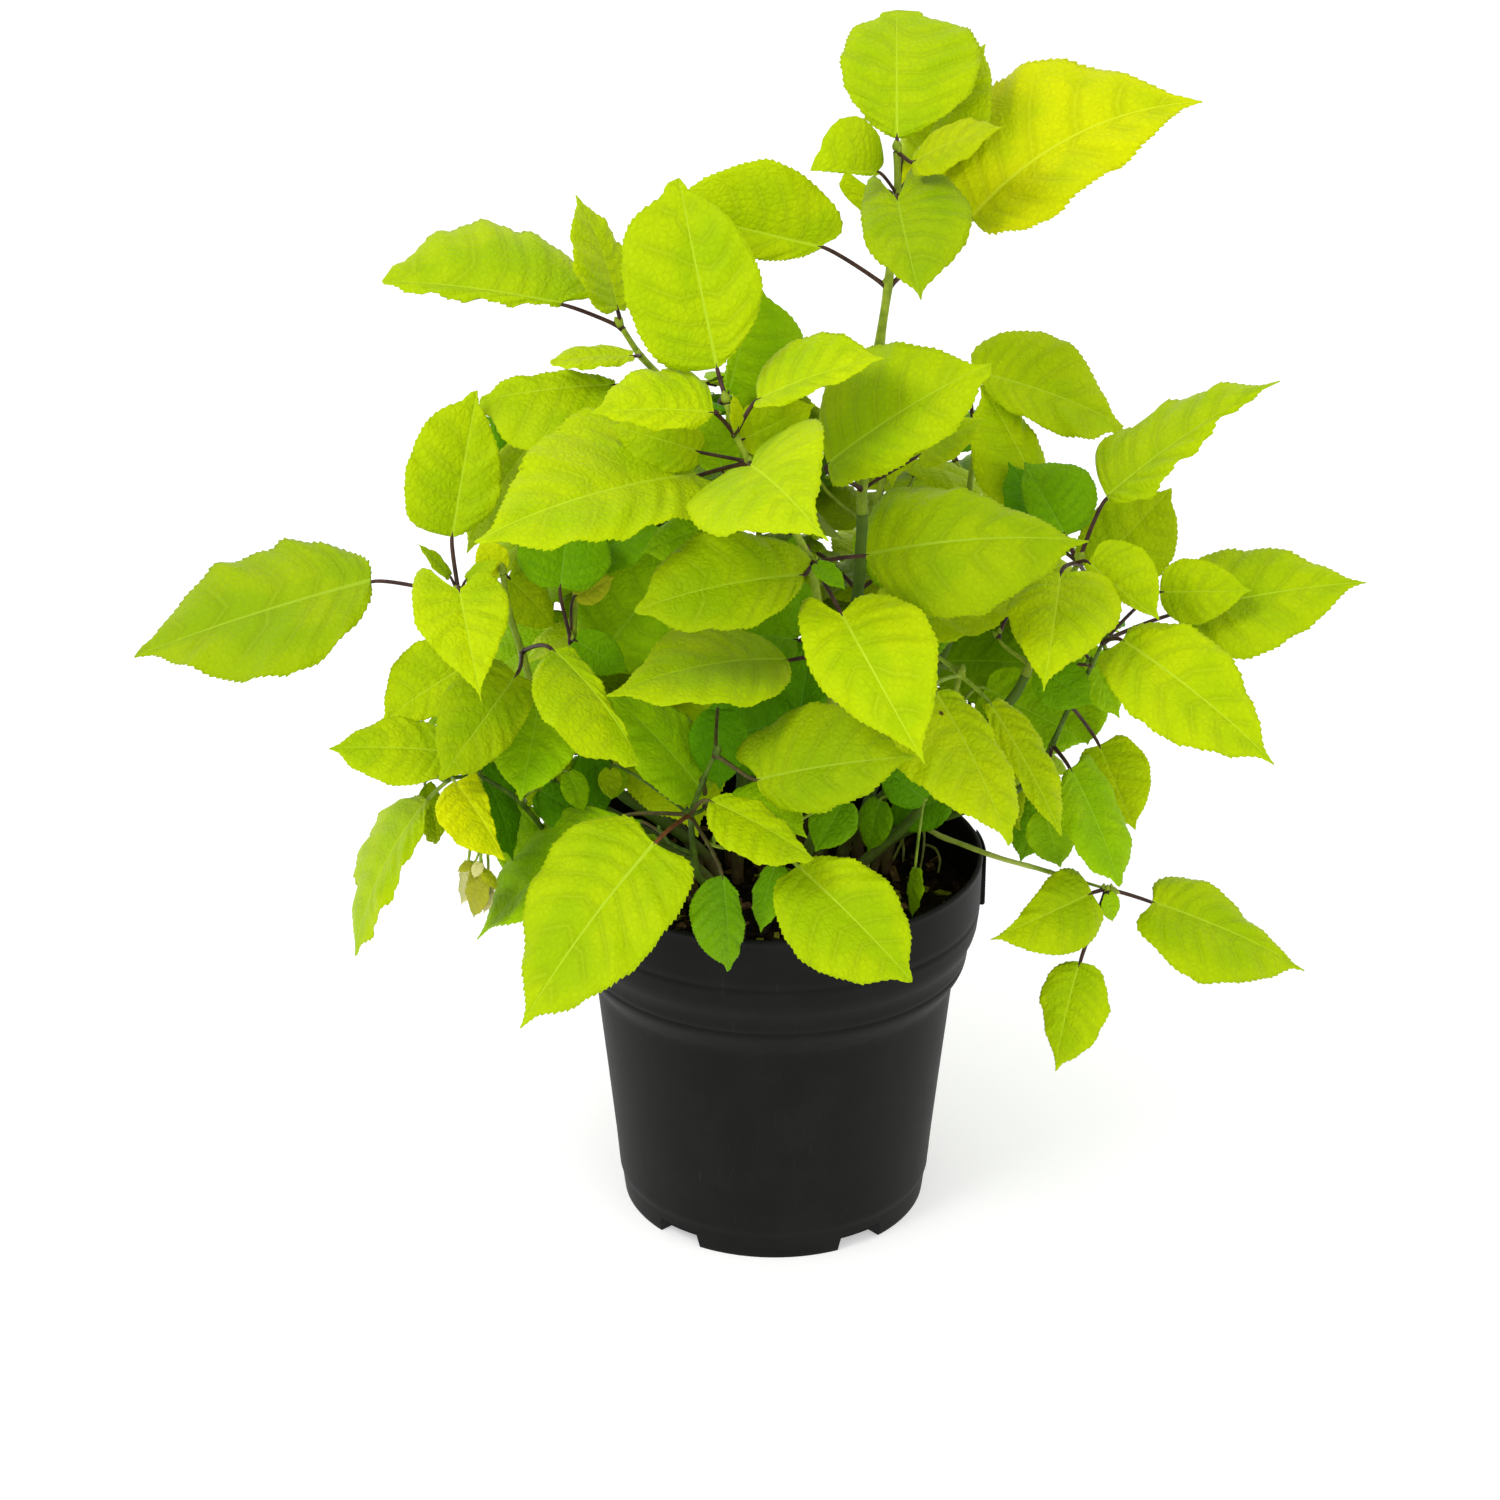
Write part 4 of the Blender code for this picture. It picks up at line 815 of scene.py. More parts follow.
# Leaves: the teeth on each side up to a length in metres, then shapes as shares of the length. ACROSS holds
# the columns of a leaf from its left margin to its right, UNEVEN holds waves and their sizes, and RUFFLE two
# sizes. Other pairs are the ends of a range.
TEETH = ((0.040, 14), (0.075, 26), (0.105, 34), (9.0, 44))
TOOTH_OUT = 0.009
TOOTH_FORWARD = 0.011
TOOTH_SIZES = (0.6, 1.3)
VEINS = (6.2, 8.2)
VEIN_SLANT = 0.85
VEIN_DRIFT = 0.35
DRIFT_WAVES = 1.4
VEIN_STAGGER = 3 / 7
SHEET_HALF = 0.0035
RIB_HALF = 0.009
RIB_LEAST = 0.0012
RIB_DEPTH = 0.010
QUILT = 0.015
PUCKER = 0.0032
PUCKER_WAVES = (9.0, 17.0, 31.0, 47.0)
RUFFLE_WAVES = (2.2, 3.6)
RUFFLE = (0.018, 0.008)
FOLD = (0.06, 0.22)
ROLL = (0.05, 0.28)
CURL = (0.0, 0.03)
TWIST = (-0.01, 0.01)
ACROSS = np.array((-1.0, -0.93, -0.78, -0.55, -0.3, 0.0, 0.0, 0.0, 0.3, 0.55, 0.78, 0.93, 1.0))
RIB = len(ACROSS) // 2
LEAST_OUTLINE = 0.012
LOBE_AT = 0.075
UNEVEN = ((1.6, 0.010), (3.3, 0.010), (6.1, 0.007))
DRIP_AT = 0.93
DRIP_SPREAD = 0.065
DRIP_DEPTH = 0.45
FINE_SHARES = 600

# How a leaf is drawn, as pairs for its left and right side: how far the lobe reaches back, how much fuller
# the side is at its base and towards its tip, and a factor on its width. Then how far its tip is moved, in
# pixels, and how far the leaf is moved along the line of sight, in metres.
Drawn = namedtuple("Drawn", "lobes bases fulls sides tip push",
                   defaults=((0.06, 0.06), (-0.35, -0.35), (0.0, 0.0), (1.0, 1.0), (0, 0), 0.0))
BASE_REACH = 0.12
# Leaves by the pixel of their joint, with the pairs in the same order, and the push where there is one
DRAWN_ROWS = (
    (562, 304, 0, 0.24, -0.7, -0.7, 0.7, 0.66, 0.54, 1.06, 0, 0),
    (717, 368, 0, 0, 0.29, -0.7, 0.52, 0.06, 1.05, 0.85, 18, -15),
    (822, 247, 0, 0.15, -0.7, -0.7, 0.48, -0.08, 0.63, 1.11, -22, 30),
    (897, 138, 0, 0.01, -0.7, -0.7, 0.7, 0.7, 0.98, 0.99, 5, -2),
    (878, 172, 0.07, 0.43, -0.25, -0.7, -0.58, 0.59, 0.3, 1.06, 0, -4),
    (897, 198, 0.41, 0.43, -0.67, -0.43, -0.18, -0.31, 1.12, 0.96, -1, 1),
    (972, 218, 0.07, 0, -0.21, 0.11, -0.03, -0.11, 1.37, 0.76, 1, 1),
    (828, 464, 0.05, 0.06, -0.07, -0.14, -0.2, 0.63, 1.14, 1.04, 0, 1),
    (975, 372, 0.11, 0, -0.7, -0.7, -0.25, 0.7, 0.98, 1.08, 2, -8),
    (1107, 497, 0, 0, 1.6, -0.39, -0.03, -0.8, 0.87, 0.82, -1, -1),
    (371, 581, 0.04, 0.04, -0.7, -0.7, -0.3, 0.28, 1, 1.1, 1, 1),
    (452, 537, 0, 0, 0.68, -0.7, 0.38, -0.2, 0.88, 0.9, -2, -1),
    (459, 589, 0.18, 0.36, -0.46, -0.2, -0.59, -0.53, 1.07, 0.91, 0, 1),
    (462, 668, 0.06, 0.11, -0.15, 0.4, 0, 0.01, 1, 1.32, 1, 1),
    (517, 674, 0.09, 0.06, 0.25, -0.15, 0.35, 0, 0.73, 1, 0, 0),
    (750, 466, 0.51, 0.51, -0.58, -0.7, -0.8, -0.34, 1.13, 1.2, 2, 2),
    (697, 475, 0.12, 0, 0.14, 0.76, 0.38, -0.42, 0.95, 1.11, 1, -2),
    (615, 385, 0.06, 0.04, -0.11, -0.51, 0.6, 0.7, 0.96, 1.3, -1, 6),
    (633, 356, 0.04, 0.08, -0.36, -0.11, 0.7, 0.7, 0.84, 0.98, -1, 0),
    (714, 413, 0, 0.06, -0.65, 0.64, 0, 0.16, 0.58, 1.59, 0, 11),
    (728, 395, 0.06, 0.06, -0.16, -0.15, -0.17, 0.22, 0.3, 1.23, -6, -6),
    (872, 188, 0.06, 0.25, -0.2, 0.84, 0, -0.16, 0.97, 1.98, 3, 0),
    (427, 800, 0.05, 0, -0.7, -0.45, 0.39, 0.01, 1.04, 1.14, -1, 1),
    (455, 782, 0.05, 0, 0.66, -0.4, -0.8, 0.31, 0.52, 1.24, -3, -2),
    (425, 785, 0.06, 0.02, -0.16, -0.35, 0.7, 0.54, 0.88, 0.93, -2, 1),
    (1045, 505, 0.06, 0.07, -0.15, -0.04, 0, 0.47, 1, 0.81, 5, -21),
    (866, 555, 0.03, 0, 0.61, -0.7, -0.46, -0.03, 1.07, 0.97, 0, 0),
    (803, 575, 0, 0.13, -0.59, -0.7, 0.35, 0.22, 0.94, 1.17, -3, 2),
    (841, 613, 0.08, 0.27, -0.53, -0.63, -0.26, -0.44, 0.99, 1.01, 0, 1),
    (787, 660, 0, 0.03, -0.7, -0.7, 0.14, -0.57, 0.99, 1.7, -5, 6),
    (553, 650, 0, 0, 0.58, -0.7, -0.8, 0.7, 0.64, 0.85, 2, 4),
    (757, 780, 0.25, 0, -0.29, -0.45, -0.13, 0.05, 1.08, 0.98, 2, -1),
    (655, 843, 0.07, 0.08, 0.14, -0.36, -0.05, -0.34, 1.17, 0.99, 0, 0),
    (620, 817, 0.06, 0, -0.15, -0.7, -0.14, -0.07, 0.78, 1.37, 1, 1, 0.05),
    (710, 801, 0, 0, -0.14, -0.7, -0.26, 0.6, 0.67, 1.11, 2, 1),
    (722, 875, 0, 0.03, -0.7, -0.11, 0.57, -0.09, 0.62, 1.3, 0, 0),
    (798, 866, 0.04, 0.07, -0.7, -0.41, 0.19, 0.23, 1.02, 1.15, 0, 0),
    (1061, 573, 0.17, 0.01, -0.26, -0.15, -0.51, -0.28, 0.95, 1.05, 0, 2),
    (1122, 640, 0.05, 0.08, -0.59, -0.26, -0.29, -0.08, 0.93, 0.94, 0, 0),
    (1180, 612, 0.07, 0.1, -0.22, -0.32, -0.2, -0.3, 1.08, 0.99, 1, -1),
    (1160, 592, 0, 0.01, 0.19, -0.23, -0.07, -0.13, 0.99, 1, 0, -1),
    (1088, 562, 0.07, 0.06, -0.07, -0.17, 0.13, -0.08, 1.23, 0.3, 0, -1),
    (935, 692, 0.01, 0.06, 0.15, -0.09, 0.57, -0.44, 0.99, 1.06, 0, 0),
    (990, 703, 0.05, 0.06, -0.26, -0.19, 0.2, 0.29, 0.65, 0.31, -1, 0),
    (1070, 768, 0.12, 0.02, 0.78, -0.7, 0.48, 0.25, 0.89, 0.85, 1, 0),
    (1099, 745, 0.07, 0.06, 0.07, -0.15, -0.01, 0, 1.18, 1, 0, 0),
    (1092, 572, 0.06, 0.06, -0.15, -0.15, 0, 0.15, 1, 1.04, 0, 0),
    (1092, 893, 0.06, 0.01, -0.08, -0.02, -0.12, -0.8, 1.02, 0.8, 0, 0),
    (1152, 902, 0.06, 0.1, -0.38, -0.49, -0.7, -0.21, 0.99, 0.99, 1, 1),
    (1080, 962, 0.04, 0, -0.41, -0.32, 0.07, -0.43, 1.1, 0.97, 0, 0),
)
DRAWN = {row[:2]: Drawn(*zip(row[2:12:2], row[3:12:2]), *row[12:]) for row in DRAWN_ROWS}
# Petioles that differ from their shoot's, by the pixel of their leaf's joint: 0 is the stem's finish, green
# or painted shade dark, 2 is ruddy
ODD_PETIOLES = {(655, 843): 2, (610, 768): 0}


def drawn_blade(blade, drawn):
    """The blade with its tip moved in the picture, then the whole leaf moved along the line of sight."""
    px, py = shown(blade.tip)
    tip = seen(px + drawn.tip[0], py + drawn.tip[1], -blade.tip[1])
    scale = 1 + drawn.push / depth(blade.joint)
    joint, tip = (EYE + (point - EYE) * scale for point in (blade.joint, tip))
    along = unit(tip - joint)
    normal = unit(blade.normal - along * (blade.normal @ along))
    return blade._replace(joint=joint, tip=tip, halves=np.array(blade.halves) * scale, normal=normal)


def half_outline(s, full=0.0):
    """Half width at share s: s^0.4 (1 - s)^p (A + B s) with p = 1.1 - full.

    A and B make it 1 at s = 0.38 and 0.62 + 0.45 full at s = 0.74. A bell round s = 0.93 draws it in, which
    leaves a drip tip."""
    power = 1.1 - full
    widest = 1.0 / (WIDEST[0] ** 0.4 * (1 - WIDEST[0]) ** power)
    taper = (TAPER[1] + 0.45 * full) / (TAPER[0] ** 0.4 * (1 - TAPER[0]) ** power)
    slope = (taper - widest) / (TAPER[0] - WIDEST[0])
    drip = 1 - DRIP_DEPTH * np.exp(-(((s - DRIP_AT) / DRIP_SPREAD) ** 2))
    return np.maximum(s**0.4 * (1 - s) ** power * (widest + slope * (s - WIDEST[0])) * drip, LEAST_OUTLINE)


def margin_along(s, lobe):
    """How far along the margin is at share s: s less lobe u e^(1 - u), where u is s / 0.075."""
    u = s / LOBE_AT
    return s - lobe * u * np.exp(1 - u)


def row_shares(lobe, slender, rows):
    """Shares for a leaf's rows, at about even steps along its margin."""
    fine = np.linspace(0.0, 1.0, FINE_SHARES) ** 2
    steps = np.hypot(np.diff(margin_along(fine, lobe)), slender * np.diff(half_outline(fine)))
    reach = np.concatenate(((0.0,), np.cumsum(steps))) + 0.5 * fine
    return np.interp(np.linspace(0.0, reach[-1], rows), reach, fine)


def leaf_skin(blade, drawn, rng):
    """Points, faces, marks, finish offsets and flat faces of a toothed, veined leaf, as a thin closed sheet.

    Row s, column t: a row leaves the midrib at s - 0.85 s (1 - s) and sweeps out to the margin at s, and
    back past the joint in the lobes. Odd rows stand out at the margin as teeth that lean forward. Three slow
    waves make the outline uneven. The sheet rises with the midrib's arch, folds up from the midrib, swells
    between side veins, puckers by crossed sines, and ruffles at its rim. The midrib is a strip of its own,
    sunk above and standing out below."""
    reach = blade.tip - blade.joint
    length = np.linalg.norm(reach)
    along = reach / length
    right = unit(np.cross(reach, blade.normal))
    halves = np.array(blade.halves) / length
    rows = 2 * next(count for limit, count in TEETH if length < limit) + 1
    s = row_shares(max(drawn.lobes), halves.mean(), rows)[:, None]
    t = ACROSS[None, :]
    edge = np.abs(t)
    turns = rng.uniform(0, 2 * pi, 12)
    uneven = sum(size * np.sin(2 * pi * waves * s + np.where(t < 0, turns[i], turns[i + 3]))
                 for i, (waves, size) in enumerate(UNEVEN))
    lobe, base_full, full, side, wide = (np.where(t < 0, *pair) for pair in (
        drawn.lobes, drawn.bases, drawn.fulls, drawn.sides, halves))
    half = wide * side * half_outline(s, full) * (1 + base_full * np.exp(-s / BASE_REACH))
    out = half * (1 + uneven * np.clip(s / 0.1, 0, 1)) * t
    strip = np.minimum(RIB_HALF * (1 - s) ** 0.8 + RIB_LEAST, 0.25 * half)
    out[:, RIB - 1] = -strip[:, RIB - 1]
    out[:, RIB + 1] = strip[:, RIB + 1]
    base = s - VEIN_SLANT * s * (1 - s)
    far = base + (margin_along(s, lobe) - base) * edge**1.5

    tangent = np.gradient(far, axis=0), np.gradient(np.abs(out), axis=0)
    size = np.hypot(*tangent) + 1e-9
    tall = rng.uniform(*TOOTH_SIZES, (rows, 1)) * (np.arange(rows) % 2)[:, None]
    tooth = tall * (edge == 1.0) * np.clip(s / 0.03, 0, 1) * np.clip((1 - s) * 9, 0, 1)
    far = far + tooth * (TOOTH_FORWARD * tangent[0] - TOOTH_OUT * tangent[1]) / size
    out = out + tooth * np.sign(t) * (TOOTH_OUT * tangent[0] + TOOTH_FORWARD * tangent[1]) / size

    drift = np.sin(2 * pi * DRIFT_WAVES * s + np.where(t < 0, turns[10], turns[11]))
    phase = rng.uniform(*VEINS) * s + np.where(t > 0, VEIN_STAGGER, 0.0) + VEIN_DRIFT * drift * s
    body = np.clip(half_outline(s) * 1.6, 0, 1)
    quilt = QUILT * np.abs(np.sin(pi * phase)) ** 0.8 * edge**0.6 * (1 - edge**4) * body
    pucker = sum(np.sin(k * s + turns[i] + 2.5 * t) * np.sin(0.6 * k * s + turns[i + 4] - 5.0 * t)
                 for i, k in enumerate(PUCKER_WAVES)) * PUCKER * body * (edge > 0)
    ruffle = 2 * pi * rng.uniform(*RUFFLE_WAVES) * s + turns[8] + np.where(t < 0, 0.0, 2.0)
    wave = edge**3 * (RUFFLE[0] * np.sin(ruffle) + RUFFLE[1] * np.sin(2.3 * ruffle + turns[9]))
    fold = np.abs(out) * rng.uniform(*FOLD) - np.abs(out) * edge**2 * rng.uniform(*ROLL)
    curl = -rng.uniform(*CURL) * np.clip(far, 0, 1) ** 5
    rise = 4 * far * (1 - far)
    lift = blade.arch * rise + quilt + pucker + wave * body + fold + curl
    sway = blade.bow * rise + rng.uniform(*TWIST) * np.clip(far, 0, 1) ** 3
    middle = blade.joint + length * (along * far[..., None] + right * (out + sway)[..., None]
                                     + blade.normal * lift[..., None])

    thick = SHEET_HALF * (1 - 0.6 * edge**6) * np.ones_like(s)
    rib = (np.arange(len(ACROSS)) == RIB) * (1 - s) ** 0.7
    upper = middle + length * blade.normal * (thick - 0.3 * RIB_DEPTH * rib)[..., None]
    lower = middle - length * blade.normal * (thick + RIB_DEPTH * rib)[..., None]
    columns = len(ACROSS)
    total = rows * columns
    sheet = grid_faces(rows, columns)
    index = np.arange(total).reshape(rows, columns)
    loop = np.concatenate((index[0, :], index[1:, -1], index[-1, -2::-1], index[-2:0:-1, 0]))
    after = np.roll(loop, -1)
    rim = np.stack((loop, after, after + total, loop + total), axis=-1)
    faces = np.vstack((sheet, (sheet + total)[:, ::-1], rim[:, ::-1]))
    on_rib = np.isin(sheet[:, 0] % columns, (RIB - 1, RIB))
    offsets = np.concatenate((np.where(on_rib, 2, 0), np.where(on_rib, 2, 1), np.zeros(len(rim), int)))
    flats = np.arange(len(faces)) >= 2 * len(sheet)
    marks = np.stack(np.broadcast_arrays(out, phase, edge), axis=-1).reshape(-1, 3)
    points = np.vstack((upper.reshape(-1, 3), lower.reshape(-1, 3)))
    return points, faces, np.vstack((marks, marks)), offsets, flats


class Finish:
    """A material in the making: nodes that read the piece's own place and marks, and feed its shader."""

    def __init__(self, name):
        self.made = bpy.data.materials.new(name)
        self.made.use_nodes = True
        self.shader = self.made.node_tree.nodes["Principled BSDF"]
        self.place = self.node("TexCoord")

    def feed(self, node, values):
        """Links a node's inputs to sockets, or sets them to numbers and colours."""
        for key, value in values.items():
            socket = node.inputs[key]
            if isinstance(value, bpy.types.NodeSocket):
                self.made.node_tree.links.new(value, socket)
            else:
                socket.default_value = (*value, 1.0) if socket.type == "RGBA" else value

    def node(self, kind, values=(), **settings):
        """The outputs of a new node with those inputs and settings."""
        made = self.made.node_tree.nodes.new(f"ShaderNode{kind}")
        for key, value in settings.items():
            setattr(made, key, value)
        self.feed(made, dict(values))
        return made.outputs

    def calc(self, operation, *values):
        """A sum worked out from sockets and numbers."""
        return self.node("Math", enumerate(values), operation=operation)[0]

    def times(self, first, second):
        """Two values multiplied."""
        return self.calc("MULTIPLY", first, second)

    def mix(self, share, first, second):
        """A colour between two sockets or colours, by a share."""
        return self.node("Mix", {0: share, 6: first, 7: second}, data_type="RGBA")[2]

    def mottle(self, scale, detail=3.0, rough=0.5, where=None):
        """A soft random value that changes over 1 / scale metres."""
        values = {"Scale": scale, "Detail": detail, "Roughness": rough,
                  "Vector": self.place["Object"] if where is None else where}
        return self.node("TexNoise", values)["Fac"]

    def cells(self, scale, **settings):
        """Random cells of 1 / scale metres."""
        return self.node("TexVoronoi", {"Scale": scale, "Vector": self.place["Object"]}, **settings)

    def between(self, value, low, high):
        """0 where value is below low, 1 above high, smooth between. high may be the lower one."""
        values = {"From Min": min(low, high), "From Max": max(low, high), "To Min": float(low > high),
                  "To Max": float(low < high), "Value": value}
        return self.node("MapRange", values, interpolation_type="SMOOTHSTEP")["Result"]

    def finished(self, colour, roughness, gloss, height, strength, depth):
        """The material, once its shader has colour, roughness, gloss, and bumps that follow height."""
        bump = self.node("Bump", {"Strength": strength, "Distance": depth, "Height": height})["Normal"]
        self.feed(self.shader, {"Base Color": colour, "Roughness": roughness, "Specular IOR Level": gloss,
                                "Normal": bump})
        return self.made


def shaded(colour, factor, lift=0.0):
    """A colour made lighter or darker, with a little grey put in."""
    return tuple(min(1.0, channel * factor + lift) for channel in colour)


def leaf_finish(name, tone, under=False):
    """Leaf skin: greener and yellower patches, a yellower rim, partly a painted highlight, and puckered
    cells between fine veinlets.

    A side vein is a thin pale line, with painted shade darkening the leaf on both sides. A few leaves have a
    small brown spot."""
    skin = Finish(name)
    rim = skin.node("Attribute", attribute_name="rim")["Fac"]
    beat = skin.node("SeparateXYZ", {0: skin.place["UV"]})[1]
    beat = skin.calc("FRACT", skin.calc("ADD", beat, 0.5))
    beside = skin.calc("ABSOLUTE", skin.calc("SUBTRACT", beat, 0.5))
    inner = skin.between(rim, 0.97, 0.60)
    vein = skin.times(skin.between(beside, 0.060, 0.012), inner)
    # Painted shade: the leaf is darkened on both sides of each side vein, where its fold would lie in shade.
    painted_crease_shade = skin.times(skin.between(beside, 0.26, 0.03), inner)
    fine = skin.mottle(420.0, 4.0, 0.65)
    net = skin.between(skin.cells(270.0, feature="DISTANCE_TO_EDGE")["Distance"], 0.0, 0.30)
    dots = skin.cells(36.0)
    picked = skin.calc("GREATER_THAN", skin.node("SeparateColor", {0: dots["Color"]})[0], 0.86)
    spot = skin.times(skin.between(dots["Distance"], 0.060, 0.035), picked)
    greener = (tone[0] * 0.84, tone[1] * 0.92, tone[2])
    yellower = (tone[0] * 1.12, tone[1] * 1.06, tone[2])
    colour = skin.mix(skin.between(skin.mottle(30.0, 3.0, 0.55), 0.36, 0.64), greener, yellower)
    for share, strength, laid in (
        # The yellower rim is partly the margin's own colour, partly a painted rim highlight.
        (skin.between(rim, 0.55, 1.0), 0.65, yellower),
        # Painted shade beside the side veins
        (painted_crease_shade, 0.36, shaded(tone, 0.62)),
        (skin.between(net, 0.8, 0.0), 0.15, shaded(tone, 0.66)),
        (skin.between(fine, 0.55, 0.30), 0.22, shaded(tone, 0.74)),
        (vein, 0.50 if under else 0.26, shaded(tone, 1.18, 0.012)),
    ):
        colour = skin.mix(skin.times(share, strength), colour, laid)
    colour = skin.mix(spot, colour, SPOT_BROWN)
    skin.feed(skin.shader, {"Specular Tint": LEAF_GLEAM})
    height = skin.calc("ADD", skin.times(net, 0.7), fine)
    height = skin.calc("ADD", height, skin.times(skin.mottle(150.0, 2.0), 1.3))
    roughness, gloss = (0.66, 0.04) if under else (0.52, 0.12)
    return skin.finished(colour, roughness, gloss, height, 0.5, 0.0009)


def leaf_finishes(name, tone):
    """A tone's leaf skin, the paler skin of its underside, and its midrib, with fine streaks."""
    face = leaf_finish(f"leaf_{name}", tone)
    under = leaf_finish(f"leaf_{name}_under", shaded(tone, 0.85, 0.02), True)
    rib = Finish(f"midrib_{name}")
    grain = rib.mottle(300.0)
    colour = rib.mix(grain, shaded(tone, 0.98, 0.004), shaded(tone, 1.14, 0.018))
    return face, under, rib.finished(colour, 0.5, 0.12, grain, 0.3, 0.0003)


def stalk_finish(name, low, high, scale=160.0):
    """Skin of a petiole or stem: two colours in fine streaks, with slight bumps."""
    skin = Finish(name)
    grain = skin.mottle(scale, 4.0, 0.6)
    colour = skin.mix(skin.between(grain, 0.3, 0.7), low, high)
    return skin.finished(colour, 0.5, 0.2, grain, 0.4, 0.0005)


def crumb_finish(name, low, high, scale):
    """Soil or bark chips: two colours in grains of 1 / scale metres, matt and rough."""
    crumbs = Finish(name)
    grain = crumbs.mottle(scale, 6.0, 0.65)
    colour = crumbs.mix(crumbs.between(grain, 0.35, 0.70), low, high)
    return crumbs.finished(colour, 0.9, 0.15, grain, 0.6, 0.0015)


def cane_finish():
    """Cane bark: brown and flaking near the soil, green higher up, the green darkened as painted shade."""
    bark = Finish("cane_bark")
    height = bark.node("SeparateXYZ", {0: bark.place["Object"]})[2]
    grain = bark.mottle(140.0, 5.0, 0.6)
    ragged = bark.calc("ADD", height, bark.times(grain, 0.06))
    # The green is partly the cane's own, partly darkened as painted shade of the crown.
    green = bark.mix(grain, (0.045, 0.10, 0.006), (0.12, 0.20, 0.012))
    brown = bark.mix(grain, (0.05, 0.028, 0.014), (0.20, 0.12, 0.055))
    colour = bark.mix(bark.between(ragged, SOIL_TOP + 0.03, SOIL_TOP + 0.08), brown, green)
    return bark.finished(colour, 0.65, 0.25, grain, 0.5, 0.0006)


def pot_finish():
    """Black moulded plastic: satin, with faint dust, fine upright scuffs and a slight orange-peel grain."""
    plastic = Finish("pot_plastic")
    upright = {"Scale": (1.0, 1.0, 0.12), "Vector": plastic.place["Object"]}
    dust = plastic.mottle(34.0, 5.0, 0.6)
    scuffs = plastic.mottle(420.0, 3.0, 0.6, plastic.node("Mapping", upright)["Vector"])
    peel = plastic.mottle(1500.0, 2.0)
    dusty, scuffed = plastic.between(dust, 0.35, 0.75), plastic.between(scuffs, 0.62, 0.80)
    plain = plastic.mix(dusty, (0.0058, 0.0058, 0.0054), (0.0090, 0.0089, 0.0083))
    marked = plastic.mix(plastic.times(scuffed, 0.35), plain, (0.030, 0.030, 0.028))
    rough = plastic.node("MapRange", {"Value": dust, "To Min": 0.46, "To Max": 0.62})["Result"]
    height = plastic.calc("ADD", peel, plastic.times(scuffs, 0.5))
    return plastic.finished(marked, rough, 0.09, height, 0.12, 0.0003)


STALKS = {
    "dark": stalk_finish("petiole_dark", (0.028, 0.010, 0.010), (0.070, 0.032, 0.018)),
    "red": stalk_finish("petiole_brown", (0.045, 0.034, 0.010), (0.10, 0.085, 0.018)),
    "ruddy": stalk_finish("petiole_ruddy", (0.095, 0.024, 0.008), (0.18, 0.062, 0.014)),
    "green": stalk_finish("petiole_green", (0.15, 0.24, 0.012), (0.30, 0.42, 0.03)),
}
STEM_GREEN = stalk_finish("stem_green", (0.16, 0.24, 0.010), (0.30, 0.39, 0.022))
# Painted shade: a dark green stem for shoots whose stem stands in the crown's shade.
STEM_PAINTED_SHADE = stalk_finish("stem_dark", (0.040, 0.080, 0.006), (0.10, 0.17, 0.012))
LEAF_FINISHES = {name: leaf_finishes(name, tone) for name, tone in TONES.items()}
CANE_BARK = cane_finish()
PALE_BARK = stalk_finish("cane_pale", (0.26, 0.36, 0.03), (0.46, 0.54, 0.10), 90.0)

# Shoots whose cane and stem are thinner or thicker than the solid's, and shoots whose stem is painted dark
# as shade.
# Then how stems and canes swell at their nodes, how a petiole leaves its node and runs under the midrib, and
# buds.
# Sides are how many points go round a tube.
SLENDER = {"low_sprig": 0.5, "leader": 1.2, "front_low": 0.75, "right_lower": 0.65, "left_low": 0.7}
# Shoots whose stem takes the painted shade dark green
STEMS_IN_PAINTED_SHADE = ("front_low", "right_lower", "left_low")
STEM_SIDES = 12
STEM_FINENESS = 6
STEM_SWELLING = np.array((1.2, 1.06, 1.0, 1.0))
CANE_SIDES = 14
CANE_NODES = 5
CANE_SWELLING = 0.12
CANE_RIDGE = 0.025
CANE_ROUGH = 0.02
CLASP_PULL = 0.7
CLASP_RISE = 0.10
JOINT_PULL = 0.45
UNDER_RIB = 0.05
PETIOLE_FINENESS = 12
PETIOLE_SIDES = 8
TWIG_WIDTHS = (1.3, 0.9)
TWIG_SIDES = 7
BUD_SIDES = 6
BUD_RINGS = 7
BUD_OUT = 0.0022
BUD_LENGTH = 0.004
TOP_BUD_LENGTH = 0.007


def bud_skin(where, way, size):
    """A small pointed bud: a circle of radius sin^0.8(pi u^0.7) carried along its way, fullest low down."""
    u = np.linspace(0.02, 1.0, BUD_RINGS)
    radii = size * (0.32 * np.sin(pi * u**0.7) ** 0.8 + 0.02)
    return tube(where + way * (u * size)[:, None], radii, BUD_SIDES)


def petiole_skin(node, blade):
    """A petiole: thick where it clasps its node, thin on its way, and run a little under the blade."""
    length = np.linalg.norm(blade.tip - blade.joint)
    span = np.linalg.norm(blade.joint - node)
    start = (blade.joint - node) * CLASP_PULL + np.array((0.0, 0.0, CLASP_RISE * span))
    joint = blade.joint - blade.normal * RIB_DEPTH * length * 0.5
    route = flow(node, start, joint, unit(blade.tip - blade.joint) * JOINT_PULL * span, PETIOLE_FINENESS)
    end = blade_point(blade, UNDER_RIB, 0) - blade.normal * (RIB_DEPTH + SHEET_HALF) * length * 0.8
    route = np.vstack((route, end))
    share = np.linspace(0.0, 1.0, len(route))
    taper = 1 + 0.9 * np.exp(-share / 0.07) - 0.25 * share**6
    return tube(route, PETIOLE_RADIUS * taper * min(1.0, 0.5 + length / 0.12), PETIOLE_SIDES)


def softened(line, times):
    """A line whose inner points are each set, that many times, to the mean of themselves, taken twice, and
    their two neighbours."""
    for _ in range(times):
        line[1:-1] = (line[:-2] + 2 * line[1:-1] + line[2:]) / 4
    return line


